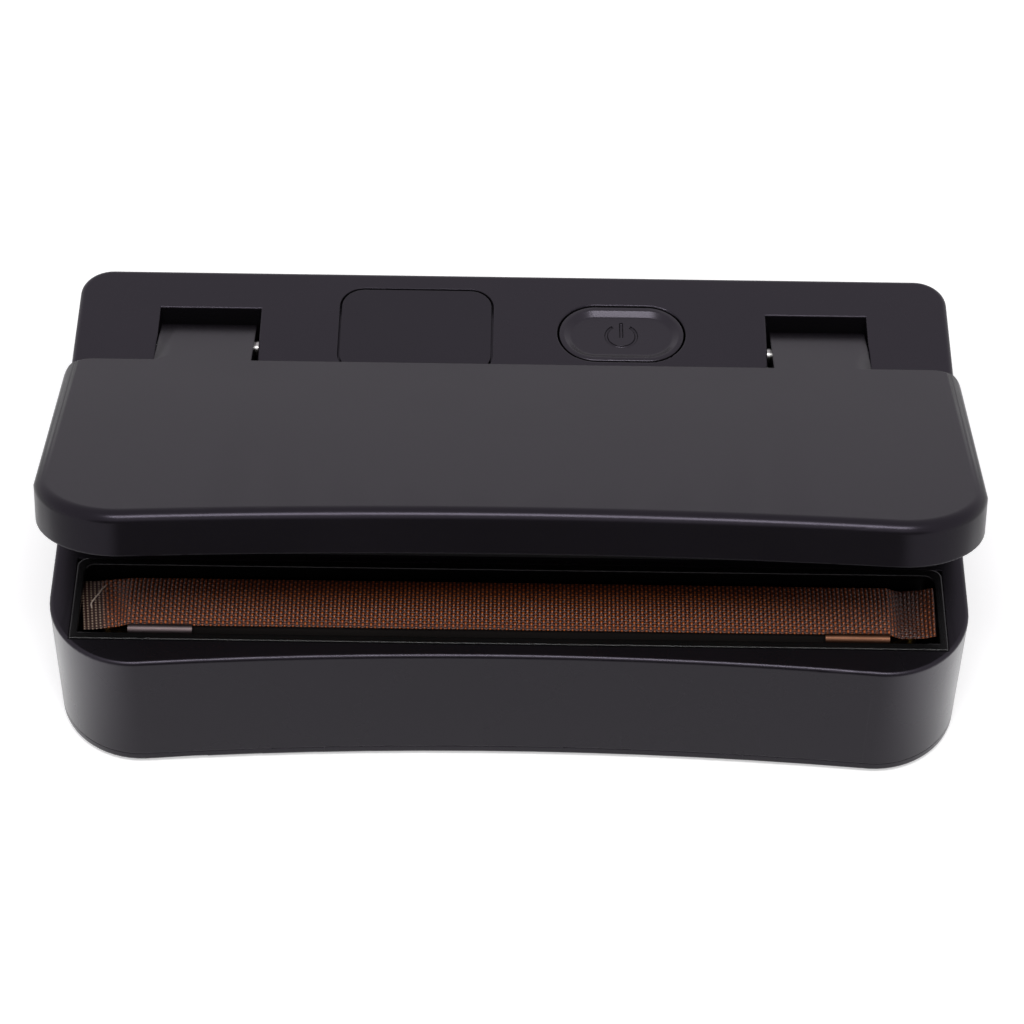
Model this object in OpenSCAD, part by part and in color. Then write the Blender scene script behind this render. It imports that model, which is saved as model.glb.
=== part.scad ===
// Compact bag sealer with a vacuum pump.
// Millimetres. X runs along the hinge, Y from the front to the rear, Z up.
// The origin is on the table under the middle of the body, and the lid is drawn partly open.

/* [Body] */
// Width of the body along the hinge
body_w = 180; // [176:1:200]
// Depth of the body from the front corners to the rear wall
body_d = 96.7; // [96:0.1:104]
// Height of the rear deck above the table
deck_h = 42.5; // [42:0.1:46]
// Height of the front deck above the table
front_h = 31.8; // [31:0.1:32]
// How far the middle of the front edge is hollowed
front_sag = 3.1; // [2:0.1:5]
// Plan radius of the two front corners
front_r = 17; // [15:0.5:18]
// Plan radius of the two rear corners
rear_r = 6.5; // [5:0.5:9]
// Thickness of the moulded walls and decks
wall = 2.2; // [1.8:0.1:2.4]
// Rounding of the rear deck's edges
deck_edge = 1.2; // [0.8:0.1:1.6]
// Rounding of the front rim's edge
rim_edge = 0.8; // [0.4:0.1:1]

/* [Lid] */
// How far the lid stands open as drawn
lid_rest = 20.2; // [0:0.1:60]
// How far the lid opens before its arms meet their stops
lid_open = 60; // [45:1:65]
// Thickness of the lid
lid_t = 9; // [8.6:0.1:9.4]
// Height of the lid's top above the hinge axis
lid_rise = 3.5; // [3.3:0.1:3.7]
// How far the lid overhangs each side of the body
lid_over = 0.6; // [0:0.1:1]
// Rounding of the lid's top edges
lid_edge = 2.2; // [1.2:0.1:2.6]
// Width of each hinge arm
arm_w = 19.7; // [17:0.1:20]
// Distance of each arm's middle from the middle of the lid
arm_x = 62.8; // [60:0.1:66]

/* [Sealing] */
// Room between each end of the heater bar and the side of the body
bar_end = 16.3; // [15:0.1:24]
// Width of the heater bar from front to rear
bar_d = 11.8; // [10:0.1:12]
// How far the chamber that the pump empties stops short of each end of the bar
trough_end = 7.7; // [6:0.1:20]
// Room between the chamber's seal and the rear wall of the lid
seal_back = 3; // [2.6:0.1:6]

/* [Controls] */
// Length of the power button
button_w = 25.7; // [18:0.1:28]
// Depth of the power button from front to rear
button_d = 15.4; // [12:0.1:16]
// Travel of the power button
button_travel = 0.8; // [0.4:0.1:1]
// Width of the display window
window_w = 30.9; // [24:0.1:34]
// Depth of the display window from front to rear
window_d = 23.2; // [18:0.1:23.4]

/* [Parts] */
// The part to draw

/* [Hidden] */
$fn = 64;
over = 1;            // how far cutters reach past what they cut
arc_step = 1;        // the hollow front ends this far short of where it would touch the corner arcs
slip = 0.15;         // clearance between parts that are fitted together
run_fit = 0.05;      // radial clearance of a bore that turns on its pin
meet_gap = 0.3;      // gap left between faces that meet at the end of a travel
half_w = body_w / 2;
front_y = -body_d / 2;
rear_y = body_d / 2;

foot_h = 1;          // feet stand proud of the base cover
cover_h = 2.1;
cover_top = foot_h + cover_h;
seam = 0.15;         // shadow line between the cover and the housing
boss_z = 4.7;        // where the cover's bosses meet those of the housing
boss_d = 6.6;
foot_x = half_w - 18;
foot_xy = [[-foot_x, front_y + 16.35], [foot_x, front_y + 16.35],
    [4 - foot_x, rear_y - 14.35], [foot_x - 4, rear_y - 14.35]];

hinge_y = rear_y - 18.75;
hinge_z = deck_h - 3.8;
pin_d = 3;
step_y = hinge_y - 11.3;             // face between the two decks
lid_top = lid_rise;
lid_bottom = lid_rise - lid_t;
lid_rear = -12.05;
lid_front = front_y - hinge_y;
lid_sag = 3;
lid_rear_r = 6;
lid_side_edge = 3;                   // the lid's sides are rounded more than its front, its rear less
lid_rear_edge = 0.9;
tail_y = 6.5;                        // the arms reach this far behind the pin
tail_r = 3.5;
slot_in = 0.8;                       // room beside each arm on the inner side
slot_out = 0.3;
slot_x0 = arm_x - arm_w / 2 - slot_in;
slot_x1 = arm_x + arm_w / 2 + slot_out;
slot_rear = 7.9;
slot_floor = -9;
cheek = 3;                           // thickness of the walls that hold the pins

tray_w = body_w - 9.6;
tray_y0 = front_y + 6.15;
tray_y1 = tray_y0 + 20.2;
tray_wall = 1.5;
tray_top = front_h + 0.2;
tray_floor = 22.3;
tray_corner = 3.2;                   // the tray's front corners are cut to clear the wall
bar_w = body_w - 2 * bar_end;
bar_y = tray_y0 + 9.05;
bar_top = front_h + 0.3;
bar_crown = 0.5;
bar_h = bar_top - (tray_floor + tray_wall);
cloth_t = 0.25;
cloth_end = tray_w / 2 - tray_wall - 0.1;
band_w = 4;
band_t = 0.2;
band_top = bar_top - crown_r(bar_d) + sqrt(pow(crown_r(bar_d), 2) - pow(band_w / 2, 2)) - 0.02;

cell_d = 18.4;
cell_l = 65;
cell_x = -half_w + wall + 4.8;
cell_y = [rear_y - 38.55, rear_y - 19.35];
cell_z = cover_top + 0.8 + cell_d / 2;
cell_top = cell_z + cell_d / 2;

seal_gap = 2.2;                      // from the trough's edge to its seal
seal_w = 3;
seal_y0 = tray_y1 + 2;
seal_y1 = hinge_y + lid_rear - wall - seal_back;
trough_w = bar_w - 2 * trough_end;
trough_d = seal_y1 - seal_y0 - 2 * (seal_gap + seal_w);
trough_y = (seal_y0 + seal_y1) / 2;
trough_r = 6;
trough_floor = cell_top + 1.2;
deck_seal_h = 0.7;                   // how far each seal stands out of its groove
lid_seal_h = 0.4;
seal_groove = 0.8;
liner_t = 3;
liner_slip = 0.1;
liner_groove = 1.5;
pad_d = 10.4;
pad_h = 0.5;
lid_screw_x = half_w - 9;
lid_screw_xy = [[-lid_screw_x, bar_y], [lid_screw_x, bar_y], [-lid_screw_x, hinge_y - 20],
    [lid_screw_x, hinge_y - 20], [0, tray_y1 - 1.8]];
screw_x = half_w - 12;
screw_xy = [[-screw_x, tray_y1 + 3.8], [0, tray_y1 + 3.8], [screw_x, tray_y1 + 3.8],
    [-screw_x - 4, rear_y - 6.35], [2, rear_y - 6.35], [screw_x + 4, rear_y - 6.35]];

window_x = -20;
control_y = rear_y - 16.65;
window_r = 4.7;
window_groove = 0.5;
flange_t = 1.2;
flange_w = 1.6;
button_x = 22.3;
button_gap = 0.3;
button_top = deck_h + 0.35;
button_edge = 0.3;
button_rim = 0.85;                   // level rim round the dish
dish_slope = 1.5;
dish_depth = 0.65;
mark_depth = 0.3;
hole_edge = 0.35;                    // rounding of the deck round the button and the slots
board_t = 1.6;
panel_z = deck_h - 10.5;             // underside of the board below the controls
pump_x1 = slot_x0 - cheek - 1.15;
pump_l = 23;
valve_l = 9.6;                       // the thicker end of the pump head, next to the motor
pump_x0 = pump_x1 - pump_l;
pump_y1 = rear_y - 8.65;
pump_y0 = pump_y1 - 22.5;
pump_z0 = 5.6;
pump_z1 = 26.6;
motor_l = 26;
motor_d = 20;
motor_y = (pump_y0 + pump_y1) / 2;
motor_z = (pump_z0 + pump_z1) / 2;
nozzle_x = pump_x0 + 11;
nozzle_d = 3.6;
hose_d = 6;
hose_z = 10;
hose_bend = 6;
outlet_x = nozzle_x + 4;
outlet_z = 21;
socket_x = half_w - 18;
socket_z = 14.3;
socket_w = 9;
socket_h = 3.3;
vent_w = 2;
vent_r = 0.99;

housing_colour = [0.2, 0.19, 0.2];
lid_colour = [0.27, 0.26, 0.27];
metal_colour = [0.75, 0.75, 0.76];
board_colour = [0.1, 0.35, 0.2];

// ---- outlines and helpers ----

// rounded rectangle about the origin
module round_rect(w, d, r) {
    square([w - 2 * r, d], center = true);
    square([w, d - 2 * r], center = true);
    for (x = [-1, 1], y = [-1, 1]) translate([x * (w / 2 - r), y * (d / 2 - r)]) circle(r);
}

// the same with half round ends
module stadium(w, d) {
    square([w - d, d], center = true);
    for (s = [-1, 1]) translate([s * (w - d) / 2, 0]) circle(d = d);
}

module round_ring(w, d, r, band) {
    difference() {
        round_rect(w, d, r);
        round_rect(w - 2 * band, d - 2 * band, r - band);
    }
}

// radius of the hollow front, and how far out it runs before the corner arcs take over
function hollow_r(w, sag, rf) = pow(w - rf, 2) / (2 * sag) + sag / 2 - rf;
function hollow_x(w, sag, rf) = w - rf - rf * sin(atan2(w - rf, hollow_r(w, sag, rf) + rf - sag)) - arc_step;

// plan with two rear corners, two front corners and a hollow front between them
module outline(w, front, sag, rear, rf, rr) {
    corner = [w - rf, front + rf];
    meet_x = hollow_x(w, sag, rf);
    translate([-w, corner.y]) square([2 * w, rear - rr - corner.y]);
    translate([rr - w, corner.y]) square([2 * (w - rr), rear - corner.y]);
    for (s = [-1, 1]) {
        translate([s * corner.x, corner.y]) circle(rf);
        translate([s * (w - rr), rear - rr]) circle(rr);
    }
    difference() {
        translate([-meet_x, front]) square([2 * meet_x, rf + over]);
        translate([0, front + sag - hollow_r(w, sag, rf)]) circle(hollow_r(w, sag, rf), $fn = 720);
    }
}

// carries a profile round the rear of that plan and forward along its sides
module run_rear(w, rear, rr, side) {
    for (s = [0, 1]) mirror([s, 0, 0]) {
        if (side > 0) translate([w, rear - rr, 0]) rotate([90, 0, 0]) linear_extrude(side) children();
        translate([w - rr, rear - rr, 0]) rotate_extrude(angle = 90) translate([rr, 0]) children();
    }
    translate([rr - w, rear, 0]) rotate([90, 0, 90]) linear_extrude(2 * (w - rr)) children();
}

// round its two front corners and back along its sides
module run_corners(w, front, sag, rf, side) {
    for (s = [0, 1]) mirror([s, 0, 0]) {
        intersection() {
            translate([w - rf, front + rf, 0]) rotate([0, 0, 90])
                rotate_extrude() translate([rf, 0]) children();
            block(hollow_x(w, sag, rf), w + 2 * over, front - 2 * over, front + rf, -body_w, body_w);
        }
        if (side > 0) translate([w, front + rf + side, 0]) rotate([90, 0, 0]) linear_extrude(side) children();
    }
}

// and along the hollow between them
module run_hollow(w, front, sag, rf) {
    meet_x = hollow_x(w, sag, rf);
    intersection() {
        translate([0, front + sag - hollow_r(w, sag, rf), 0]) rotate([0, 0, -90])
            rotate_extrude($fn = 720) translate([hollow_r(w, sag, rf), 0]) mirror([1, 0]) children();
        block(-meet_x, meet_x, front - 2 * over, front + rf, -body_w, body_w);
    }
}

// and round the edge of a stadium
module run_stadium(w, d) {
    for (s = [0, 1]) mirror([s, 0, 0]) translate([(w - d) / 2, 0, 0]) rotate([0, 0, -90])
        rotate_extrude(angle = 180) translate([d / 2, 0]) children();
    for (s = [0, 1]) mirror([0, s, 0]) translate([(d - w) / 2, d / 2, 0]) rotate([90, 0, 90])
        linear_extrude(w - d) children();
}

// what is cut away to round an edge
module edge_cut(r) {
    difference() {
        translate([-r, -r]) square(r + over);
        translate([-r, -r]) circle(r);
    }
}

module body_outline(inset = 0) {
    outline(half_w - inset, front_y + inset, front_sag, rear_y - inset, front_r - inset, rear_r - inset);
}

module lid_outline(inset = 0) {
    outline(half_w + lid_over - inset, lid_front + inset, lid_sag, lid_rear - inset,
        front_r - inset, lid_rear_r - inset);
}

// profiles drawn in Y and Z, or in X and Z
module along_x(x0, length) {
    translate([x0, 0, 0]) rotate([90, 0, 90]) linear_extrude(length) children();
}
module along_y(y0, length) {
    translate([0, y0 + length, 0]) rotate([90, 0, 0]) linear_extrude(length) children();
}

module slab(z0, z1) { translate([0, 0, z0]) linear_extrude(z1 - z0) children(); }
module block(x0, x1, y0, y1, z0, z1) { translate([x0, y0, z0]) cube([x1 - x0, y1 - y0, z1 - z0]); }

// the lid's parts are drawn about the hinge axis, closed, and swung open together
module on_hinge() { translate([0, hinge_y, hinge_z]) rotate([-lid_rest, 0, 0]) children(); }
module at_all(points) { for (p = points) translate([p.x, p.y, 0]) children(); }

// ---- body ----

// the hollow block with its two decks and rounded edges
module housing_block() {
    side = step_y - front_y - front_r;
    difference() {
        slab(cover_top + seam, deck_h) body_outline();
        block(-half_w - over, half_w + over, front_y - over, step_y, front_h, deck_h + over);
        translate([0, 0, front_h]) run_corners(half_w, front_y, front_sag, front_r, side) edge_cut(rim_edge);
        translate([0, 0, front_h]) run_hollow(half_w, front_y, front_sag, front_r) edge_cut(rim_edge);
        translate([0, 0, deck_h])
            run_rear(half_w, rear_y, rear_r, rear_y - rear_r - step_y + over) edge_cut(deck_edge);
        along_x(-half_w - over, body_w + 2 * over)
            translate([step_y, deck_h]) mirror([1, 0]) edge_cut(deck_edge);
        difference() {
            slab(0, deck_h - wall) body_outline(wall);
            block(-half_w, half_w, front_y, step_y + wall, front_h - wall, deck_h);
        }
    }
}

// side view of the space an arm turns in: its sloping face is the stop at full opening
module slot_profile() {
    ledge = front_h - hinge_z;
    top = deck_h - hinge_z + over;
    reach = -lid_bottom + meet_gap;
    stop_y = function(z) (-z - reach * cos(lid_open)) / tan(lid_open) - reach * sin(lid_open);
    translate([hinge_y, hinge_z])
        polygon([[lid_rear - over, ledge], [stop_y(ledge), ledge], [stop_y(slot_floor), slot_floor],
            [slot_rear, slot_floor], [slot_rear, top], [lid_rear - over, top]]);
}

module slot_edges() {
    rear = hinge_y + slot_rear;
    along_y(step_y - over, rear - step_y + over) slot_sides();
    along_x(slot_x0, slot_x1 - slot_x0) translate([rear, deck_h]) mirror([1, 0]) edge_cut(hole_edge);
    intersection() {
        along_y(rear, hole_edge) slot_sides();
        along_x(slot_x0 - hole_edge, slot_x1 - slot_x0 + 2 * hole_edge)
            translate([rear, deck_h]) mirror([1, 0]) edge_cut(hole_edge);
    }
}

module slot_sides() {
    translate([slot_x0, deck_h]) edge_cut(hole_edge);
    translate([slot_x1, deck_h]) mirror([1, 0]) edge_cut(hole_edge);
}

module main_housing() {
    color(housing_colour) difference() {
        union() {
            housing_block();
            for (s = [0, 1]) mirror([s, 0, 0])
                block(slot_x0 - cheek, slot_x1 + cheek, step_y + over, hinge_y + slot_rear + wall,
                    hinge_z + slot_floor - wall, deck_h - wall / 2);
            for (p = screw_xy) translate([p.x, p.y, boss_z])
                cylinder(d = boss_d, h = (p.y < step_y ? front_h : deck_h) - wall / 2 - boss_z);
        }
        for (s = [0, 1]) mirror([s, 0, 0]) {
            along_x(slot_x0, slot_x1 - slot_x0) slot_profile();
            slot_edges();
            translate([slot_x0 - cheek - over, hinge_y, hinge_z]) rotate([0, 90, 0])
                cylinder(d = pin_d + 0.04, h = slot_x1 - slot_x0 + 2 * cheek + 2 * over);
        }
        at_all(screw_xy) cylinder(d = 2.5, h = front_h - wall - 4);
        // openings for the tray and the trough, and the groove of the deck seal
        block(-tray_w / 2 - slip, tray_w / 2 + slip, tray_y0 - slip, tray_y1 + slip,
            front_h - wall - 1, deck_h);
        translate([0, trough_y, 0]) {
            slab(front_h - wall - over, front_h + over)
                round_rect(trough_w + 2 * slip, trough_d + 2 * slip, trough_r + slip);
            slab(front_h - seal_groove, front_h + over) seal_ring();
        }
        // window, button, socket and vents
        translate([window_x, control_y, 0]) slab(deck_h - wall - flange_t, deck_h + over)
            round_rect(window_w + 2 * window_groove, window_d + 2 * window_groove, window_r + window_groove);
        translate([button_x, control_y, 0]) slab(deck_h - wall - over, deck_h + over)
            stadium(button_w + 2 * button_gap, button_d + 2 * button_gap);
        translate([button_x, control_y, deck_h])
            run_stadium(button_w + 2 * button_gap, button_d + 2 * button_gap)
                mirror([1, 0]) edge_cut(hole_edge);
        translate([socket_x, 0, socket_z]) {
            along_y(rear_y - wall - over, wall + 2 * over) stadium(socket_w + 0.8, socket_h + 0.8);
            along_y(rear_y - 0.7, 0.7 + over) stadium(socket_w + 3.4, socket_h + 3.3);
        }
        for (i = [0:5]) translate([outlet_x - 20 + 6 * i, 0, 17])
            along_y(rear_y - wall - over, wall + 2 * over) round_rect(vent_w, 12, vent_r);
    }
}

module base_cover() {
    side = -front_y - front_r + over;
    color(housing_colour) difference() {
        union() {
            difference() {
                slab(foot_h, cover_top) body_outline();
                translate([0, 0, foot_h]) mirror([0, 0, 1])
                    run_corners(half_w, front_y, front_sag, front_r, side) edge_cut(rim_edge);
                translate([0, 0, foot_h]) mirror([0, 0, 1])
                    run_hollow(half_w, front_y, front_sag, front_r) edge_cut(rim_edge);
                translate([0, 0, foot_h]) mirror([0, 0, 1])
                    run_rear(half_w, rear_y, rear_r, rear_y - rear_r) edge_cut(rim_edge);
            }
            slab(cover_top - over, cover_top + 1.6) difference() {
                body_outline(wall + slip);
                body_outline(wall + slip + 1.2);
            }
            at_all(screw_xy) cylinder_at(7.4, foot_h + 0.2, boss_z);
        }
        at_all(screw_xy) {
            cylinder_at(5.4, foot_h - over, foot_h + 1.9);
            cylinder_at(2.9, foot_h, boss_z + over);
        }
        at_all(foot_xy) cylinder_at(11.3, foot_h - over, foot_h + 0.8);
        for (i = [-4:4]) translate([pump_x0 + 13 + 5 * i, 2, 0])
            slab(0, cover_top + over) round_rect(vent_w, 16, vent_r);
    }
}

module cylinder_at(d, z0, z1) { translate([0, 0, z0]) cylinder(d = d, h = z1 - z0); }

module rubber_feet() {
    color([0.09, 0.09, 0.09]) at_all(foot_xy) {
        cylinder(d1 = 10, d2 = 11, h = 0.5);
        cylinder_at(11, 0.5, foot_h + 0.8);
    }
}

// pan head screw with a cross recess, head down
module screw(head_d, head_h, shank_d, shank_h) {
    difference() {
        union() {
            cylinder(d = head_d, h = head_h);
            cylinder_at(shank_d, head_h / 2, head_h + shank_h);
        }
        for (a = [0, 90]) rotate([0, 0, a])
            translate([-head_d / 4, -0.35, -over]) cube([head_d / 2, 0.7, over + 0.7]);
    }
}

module base_screws() {
    color(metal_colour) at_all(screw_xy) translate([0, 0, foot_h + 0.5]) screw(5, 1.4, 2.4, 10);
}

module hinge_pins() {
    color(metal_colour) for (s = [0, 1]) mirror([s, 0, 0])
        translate([slot_x0 - cheek + 0.2, hinge_y, hinge_z]) rotate([0, 90, 0])
            cylinder(d = pin_d, h = slot_x1 - slot_x0 + 2 * cheek - 0.4);
}

// ---- heater ----

module tray_plan(inset, cut) {
    w = tray_w / 2 - inset;
    y0 = tray_y0 + inset;
    y1 = tray_y1 - inset;
    r = 2;
    polygon([[cut - w, y0], [w - cut, y0], [w, y0 + cut], [w, y1 - r],
        [w - r, y1], [r - w, y1], [-w, y1 - r], [-w, y0 + cut]]);
    for (s = [-1, 1]) translate([s * (w - r), y1 - r]) circle(r);
}

module heater_tray() {
    color(housing_colour) difference() {
        union() {
            slab(tray_floor, front_h - wall - 0.2) tray_plan(0, tray_corner);
            slab(front_h - wall - 0.6, tray_top) tray_plan(0, 0.01);
        }
        slab(tray_floor + tray_wall, front_h - wall - 1) tray_plan(tray_wall, tray_corner);
        slab(front_h - wall - 1.2, tray_top + over) tray_plan(tray_wall, 0.01);
    }
}

module heater_bar() {
    color([0.35, 0.3, 0.26]) difference() {
        along_x(-bar_w / 2, bar_w) difference() {
            intersection() {
                translate([bar_y - bar_d / 2, bar_top - bar_h]) square([bar_d, bar_h + over]);
                translate([bar_y, bar_top - crown_r(bar_d)]) circle(crown_r(bar_d), $fn = 360);
            }
            translate([bar_y - band_w / 2 - 0.2, band_top - band_t]) square([band_w + 0.4, over]);
            translate([bar_y - bar_d / 2 + 2.4, bar_top - bar_h - over]) square([bar_d - 4.8, 4 + over]);
        }
        for (s = [-1, 1]) translate([s * (bar_w / 2 - 6), bar_y, bar_top - bar_h])
            cylinder(d = 2.6, h = bar_h - 2);
    }
}

function crown_r(d) = (d * d / 4 + bar_crown * bar_crown) / (2 * bar_crown);

module heating_band() {
    x = bar_w / 2 + 0.1;
    y0 = bar_y - band_w / 2;
    y1 = bar_y + band_w / 2;
    color(metal_colour) {
        block(-x - band_t, x + band_t, y0, y1, band_top - band_t, band_top);
        for (s = [0, 1]) mirror([s, 0, 0]) block(x, x + band_t, y0, y1, bar_top - 6.1, band_top);
    }
}

// spring clip that pulls one end of the band
module band_clip() {
    x = bar_w / 2 + 0.1 + band_t;
    z = tray_floor + tray_wall;
    color([0.72, 0.6, 0.3]) difference() {
        union() {
            block(x, x + 4, bar_y - 3.4, bar_y + 3.4, z, bar_top - 3.9);
            translate([x + 5, bar_y, 0]) cylinder_at(2.6, z, bar_top - 5.6);
            block(x + 3.8, x + 5, bar_y - 1, bar_y + 1, z, bar_top - 7.1);
        }
        translate([x + 2, bar_y, bar_top - 5.6]) cylinder(d = 2.2, h = 5);
    }
}
module band_clip_left() { mirror([1, 0, 0]) band_clip(); }
module band_clip_right() { band_clip(); }

// woven cover laid over the bar, with a flap past each of its ends
module ptfe_cover() {
    r = crown_r(bar_d);
    low = bar_top - 3.6;
    half_d = bar_d / 2 + cloth_t;
    x0 = bar_w / 2;
    color([0.55, 0.33, 0.18]) {
        along_x(-x0 - 1, 2 * x0 + 2) difference() {
            intersection() {
                translate([bar_y - half_d, low]) square([2 * half_d, 6]);
                translate([bar_y, bar_top - r]) circle(r + cloth_t, $fn = 360);
            }
            intersection() {
                translate([bar_y - bar_d / 2, low - over]) square([bar_d, 9]);
                translate([bar_y, bar_top - r]) circle(r, $fn = 360);
            }
        }
        for (s = [0, 1]) mirror([s, 0, 0]) along_y(bar_y - half_d, 2 * half_d)
            polygon([[x0 + 0.5, bar_top - 0.4], [x0 + 3, bar_top - 1], [cloth_end - 3, bar_top - 2.6],
                [cloth_end, bar_top - 2.2], [cloth_end, bar_top - 1.95], [cloth_end - 3, bar_top - 2.35],
                [x0 + 3, bar_top - 0.75], [x0 + 0.5, bar_top - 0.15]]);
    }
}

// thin strips that hold the cover's front edge at both ends of the bar
module cloth_clamps() {
    y1 = bar_y - bar_d / 2 - cloth_t - 0.04;
    color(metal_colour) for (s = [0, 1]) mirror([s, 0, 0]) {
        block(bar_w / 2 - 12.1, bar_w / 2 + 0.4, y1 - 1.15, y1, bar_top - 2.2, bar_top - 1.7);
        block(bar_w / 2 - 12.1, bar_w / 2 + 0.4, y1 - 0.4, y1, tray_floor + tray_wall, bar_top - 1.9);
    }
}

// ---- vacuum ----

module seal_ring(slack = 0) {
    round_ring(trough_w + 2 * (seal_gap + seal_w) - 2 * slack, trough_d + 2 * (seal_gap + seal_w) - 2 * slack,
        trough_r + seal_gap + seal_w - slack, seal_w - 2 * slack);
}

module vacuum_trough() {
    color(housing_colour) translate([0, trough_y, 0]) difference() {
        union() {
            slab(trough_floor, front_h + 0.2) round_rect(trough_w, trough_d, trough_r);
            slab(front_h, front_h + 0.4) round_rect(trough_w + 2, trough_d + 2, trough_r + 1);
        }
        slab(trough_floor + tray_wall, front_h + over)
            round_rect(trough_w - 2 * tray_wall, trough_d - 2 * tray_wall, trough_r - tray_wall);
        translate([nozzle_x, 0, trough_floor - over]) cylinder(d = 6.3, h = tray_wall + 2 * over);
    }
}

module deck_seal() {
    color([0.12, 0.12, 0.12]) translate([0, trough_y, 0])
        slab(front_h - seal_groove, front_h + deck_seal_h) seal_ring(slip / 2);
}

module suction_nozzle() {
    color([0.85, 0.85, 0.83]) translate([nozzle_x, trough_y, 0]) difference() {
        union() {
            cylinder_at(6.2, trough_floor - 1.5, trough_floor + tray_wall);
            cylinder_at(9, trough_floor + tray_wall, trough_floor + tray_wall + 1);
            cylinder_at(9, trough_floor - 1.5, trough_floor);
            cylinder_at(nozzle_d, hose_z + hose_bend, trough_floor);
        }
        cylinder_at(2, 0, deck_h);
    }
}

module hose_section() { difference() { circle(d = hose_d); circle(d = nozzle_d + 0.04); } }

module vacuum_hose() {
    color([0.8, 0.8, 0.78]) translate([nozzle_x, trough_y, 0]) {
        slab(hose_z + hose_bend, trough_floor - 1.5) hose_section();
        translate([0, hose_bend, hose_z + hose_bend]) rotate([0, 90, 0]) rotate([0, 0, -90])
            rotate_extrude(angle = 90) translate([hose_bend, 0]) hose_section();
        translate([0, 0, hose_z]) along_y(hose_bend, pump_y0 - 1.5 - hose_bend - trough_y) hose_section();
    }
}

module pump_head() {
    color([0.16, 0.17, 0.2]) difference() {
        union() {
            block(pump_x0, pump_x0 + valve_l, pump_y0, pump_y1, pump_z0, pump_z1);
            block(pump_x0 + valve_l - 0.2, pump_x1, pump_y0 + 1, pump_y1 - 1, pump_z0 + 1, pump_z1 - 1);
            translate([nozzle_x, 0, hose_z]) along_y(pump_y0 - 7, 9) circle(d = nozzle_d);
            translate([nozzle_x, 0, hose_z]) along_y(pump_y0 - 1.5, 3) circle(d = 7);
            translate([outlet_x, 0, outlet_z]) along_y(pump_y1 - 2, 5) circle(d = 4);
        }
        translate([nozzle_x, 0, hose_z]) along_y(pump_y0 - 8, 12) circle(d = 2);
        translate([outlet_x, 0, outlet_z]) along_y(pump_y1 - 3, 8) circle(d = 2.4);
    }
}

module pump_motor() {
    color(metal_colour) translate([0, motor_y, motor_z]) rotate([0, 90, 0]) {
        cylinder_at(motor_d, pump_x0 - motor_l, pump_x0);
        cylinder_at(6, pump_x0 - motor_l - 1.5, pump_x0 - motor_l + 0.2);
        cylinder_at(2, pump_x0 - motor_l - 3.4, pump_x0 - motor_l - 1);
    }
}

module pump_cradle() {
    color([0.1, 0.1, 0.1]) difference() {
        union() {
            for (x = [motor_l - 4, 9]) block(pump_x0 - x, pump_x0 - x + 6, motor_y - motor_d / 2,
                motor_y + motor_d / 2, cover_top, motor_z - 2);
            block(pump_x0 + 1, pump_x1 - 1, pump_y0 + 1, pump_y1 - 1, cover_top, pump_z0 + 0.9);
            block(pump_x0 - motor_l + 4, pump_x1 - 1, motor_y - 5, motor_y + 5, cover_top, cover_top + 1.5);
        }
        translate([0, motor_y, motor_z]) rotate([0, 90, 0])
            cylinder_at(motor_d + 0.04, pump_x0 - motor_l, pump_x0);
        block(pump_x0 - 0.02, pump_x0 + valve_l + 0.02, pump_y0 - 0.02, pump_y1 + 0.02, pump_z0, pump_z1);
        block(pump_x0, pump_x1 + 0.02, pump_y0 + 0.98, pump_y1, pump_z0 + 1, pump_z1);
    }
}

// ---- controls and power ----

module display_window() {
    color([0.1, 0.1, 0.11]) translate([window_x, control_y, 0]) {
        slab(deck_h - wall - 0.2, deck_h) round_rect(window_w, window_d, window_r);
        slab(deck_h - wall - flange_t, deck_h - wall) translate([0, flange_w / 2 + 0.2])
            square([window_w + 2 * (window_groove + flange_w), window_d - 0.6 + flange_w], center = true);
    }
}

module display_board() {
    x0 = window_x - 18;
    x1 = button_x + 19.7;
    y0 = step_y + wall + 1;
    y1 = rear_y - 4.35;
    color(board_colour) difference() {
        block(x0, x1, y0, y1, panel_z, panel_z + board_t);
        for (x = [x0 + 4, x1 - 4], y = [y0 + 3, y1 - 3])
            translate([x, y, 0]) cylinder_at(2.6, panel_z - over, panel_z + board_t + over);
        at_all(screw_xy) cylinder_at(boss_d + 0.6, panel_z - over, panel_z + board_t + over);
    }
}

// two digits stand proud of their carrier
module digit_module() {
    z = panel_z + board_t;
    color([0.08, 0.08, 0.08]) difference() {
        block(window_x - 11, window_x + 11, control_y - 6.5, control_y + 6.5, z, z + 4.6);
        for (x = [-1, 1]) translate([window_x + x * 5.2, control_y, 0])
            slab(z + 4.2, z + 5) difference() {
                square([6.4, 10.4], center = true);
                for (y = [-2.6, 2.6]) translate([0, y]) square([4, 3.8], center = true);
            }
    }
}

module button_switch() {
    color([0.2, 0.2, 0.2]) translate([button_x, control_y, panel_z + board_t]) {
        translate([-3, -3, 0]) cube([6, 6, 1.7]);
        cylinder(d = 3.2, h = 2.1);
    }
}

// cap with a dished top, a flange under the deck and a stem over the switch
module power_button() {
    flange_z = deck_h - wall - meet_gap;
    floor_in = 2 * (button_rim + dish_slope);
    color(lid_colour) translate([button_x, control_y, 0]) difference() {
        union() {
            slab(flange_z - 0.5, button_top) stadium(button_w, button_d);
            slab(flange_z - flange_t, flange_z) stadium(button_w + 3, button_d + 3);
            cylinder_at(3.4, panel_z + board_t + 2.1 + button_travel + 0.1, flange_z);
        }
        translate([0, 0, button_top]) run_stadium(button_w, button_d) {
            edge_cut(button_edge);
            dish_cut();
        }
        slab(button_top - dish_depth, button_top + over) stadium(button_w - floor_in, button_d - floor_in);
        slab(button_top - dish_depth - mark_depth, button_top) power_mark();
    }
}

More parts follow.
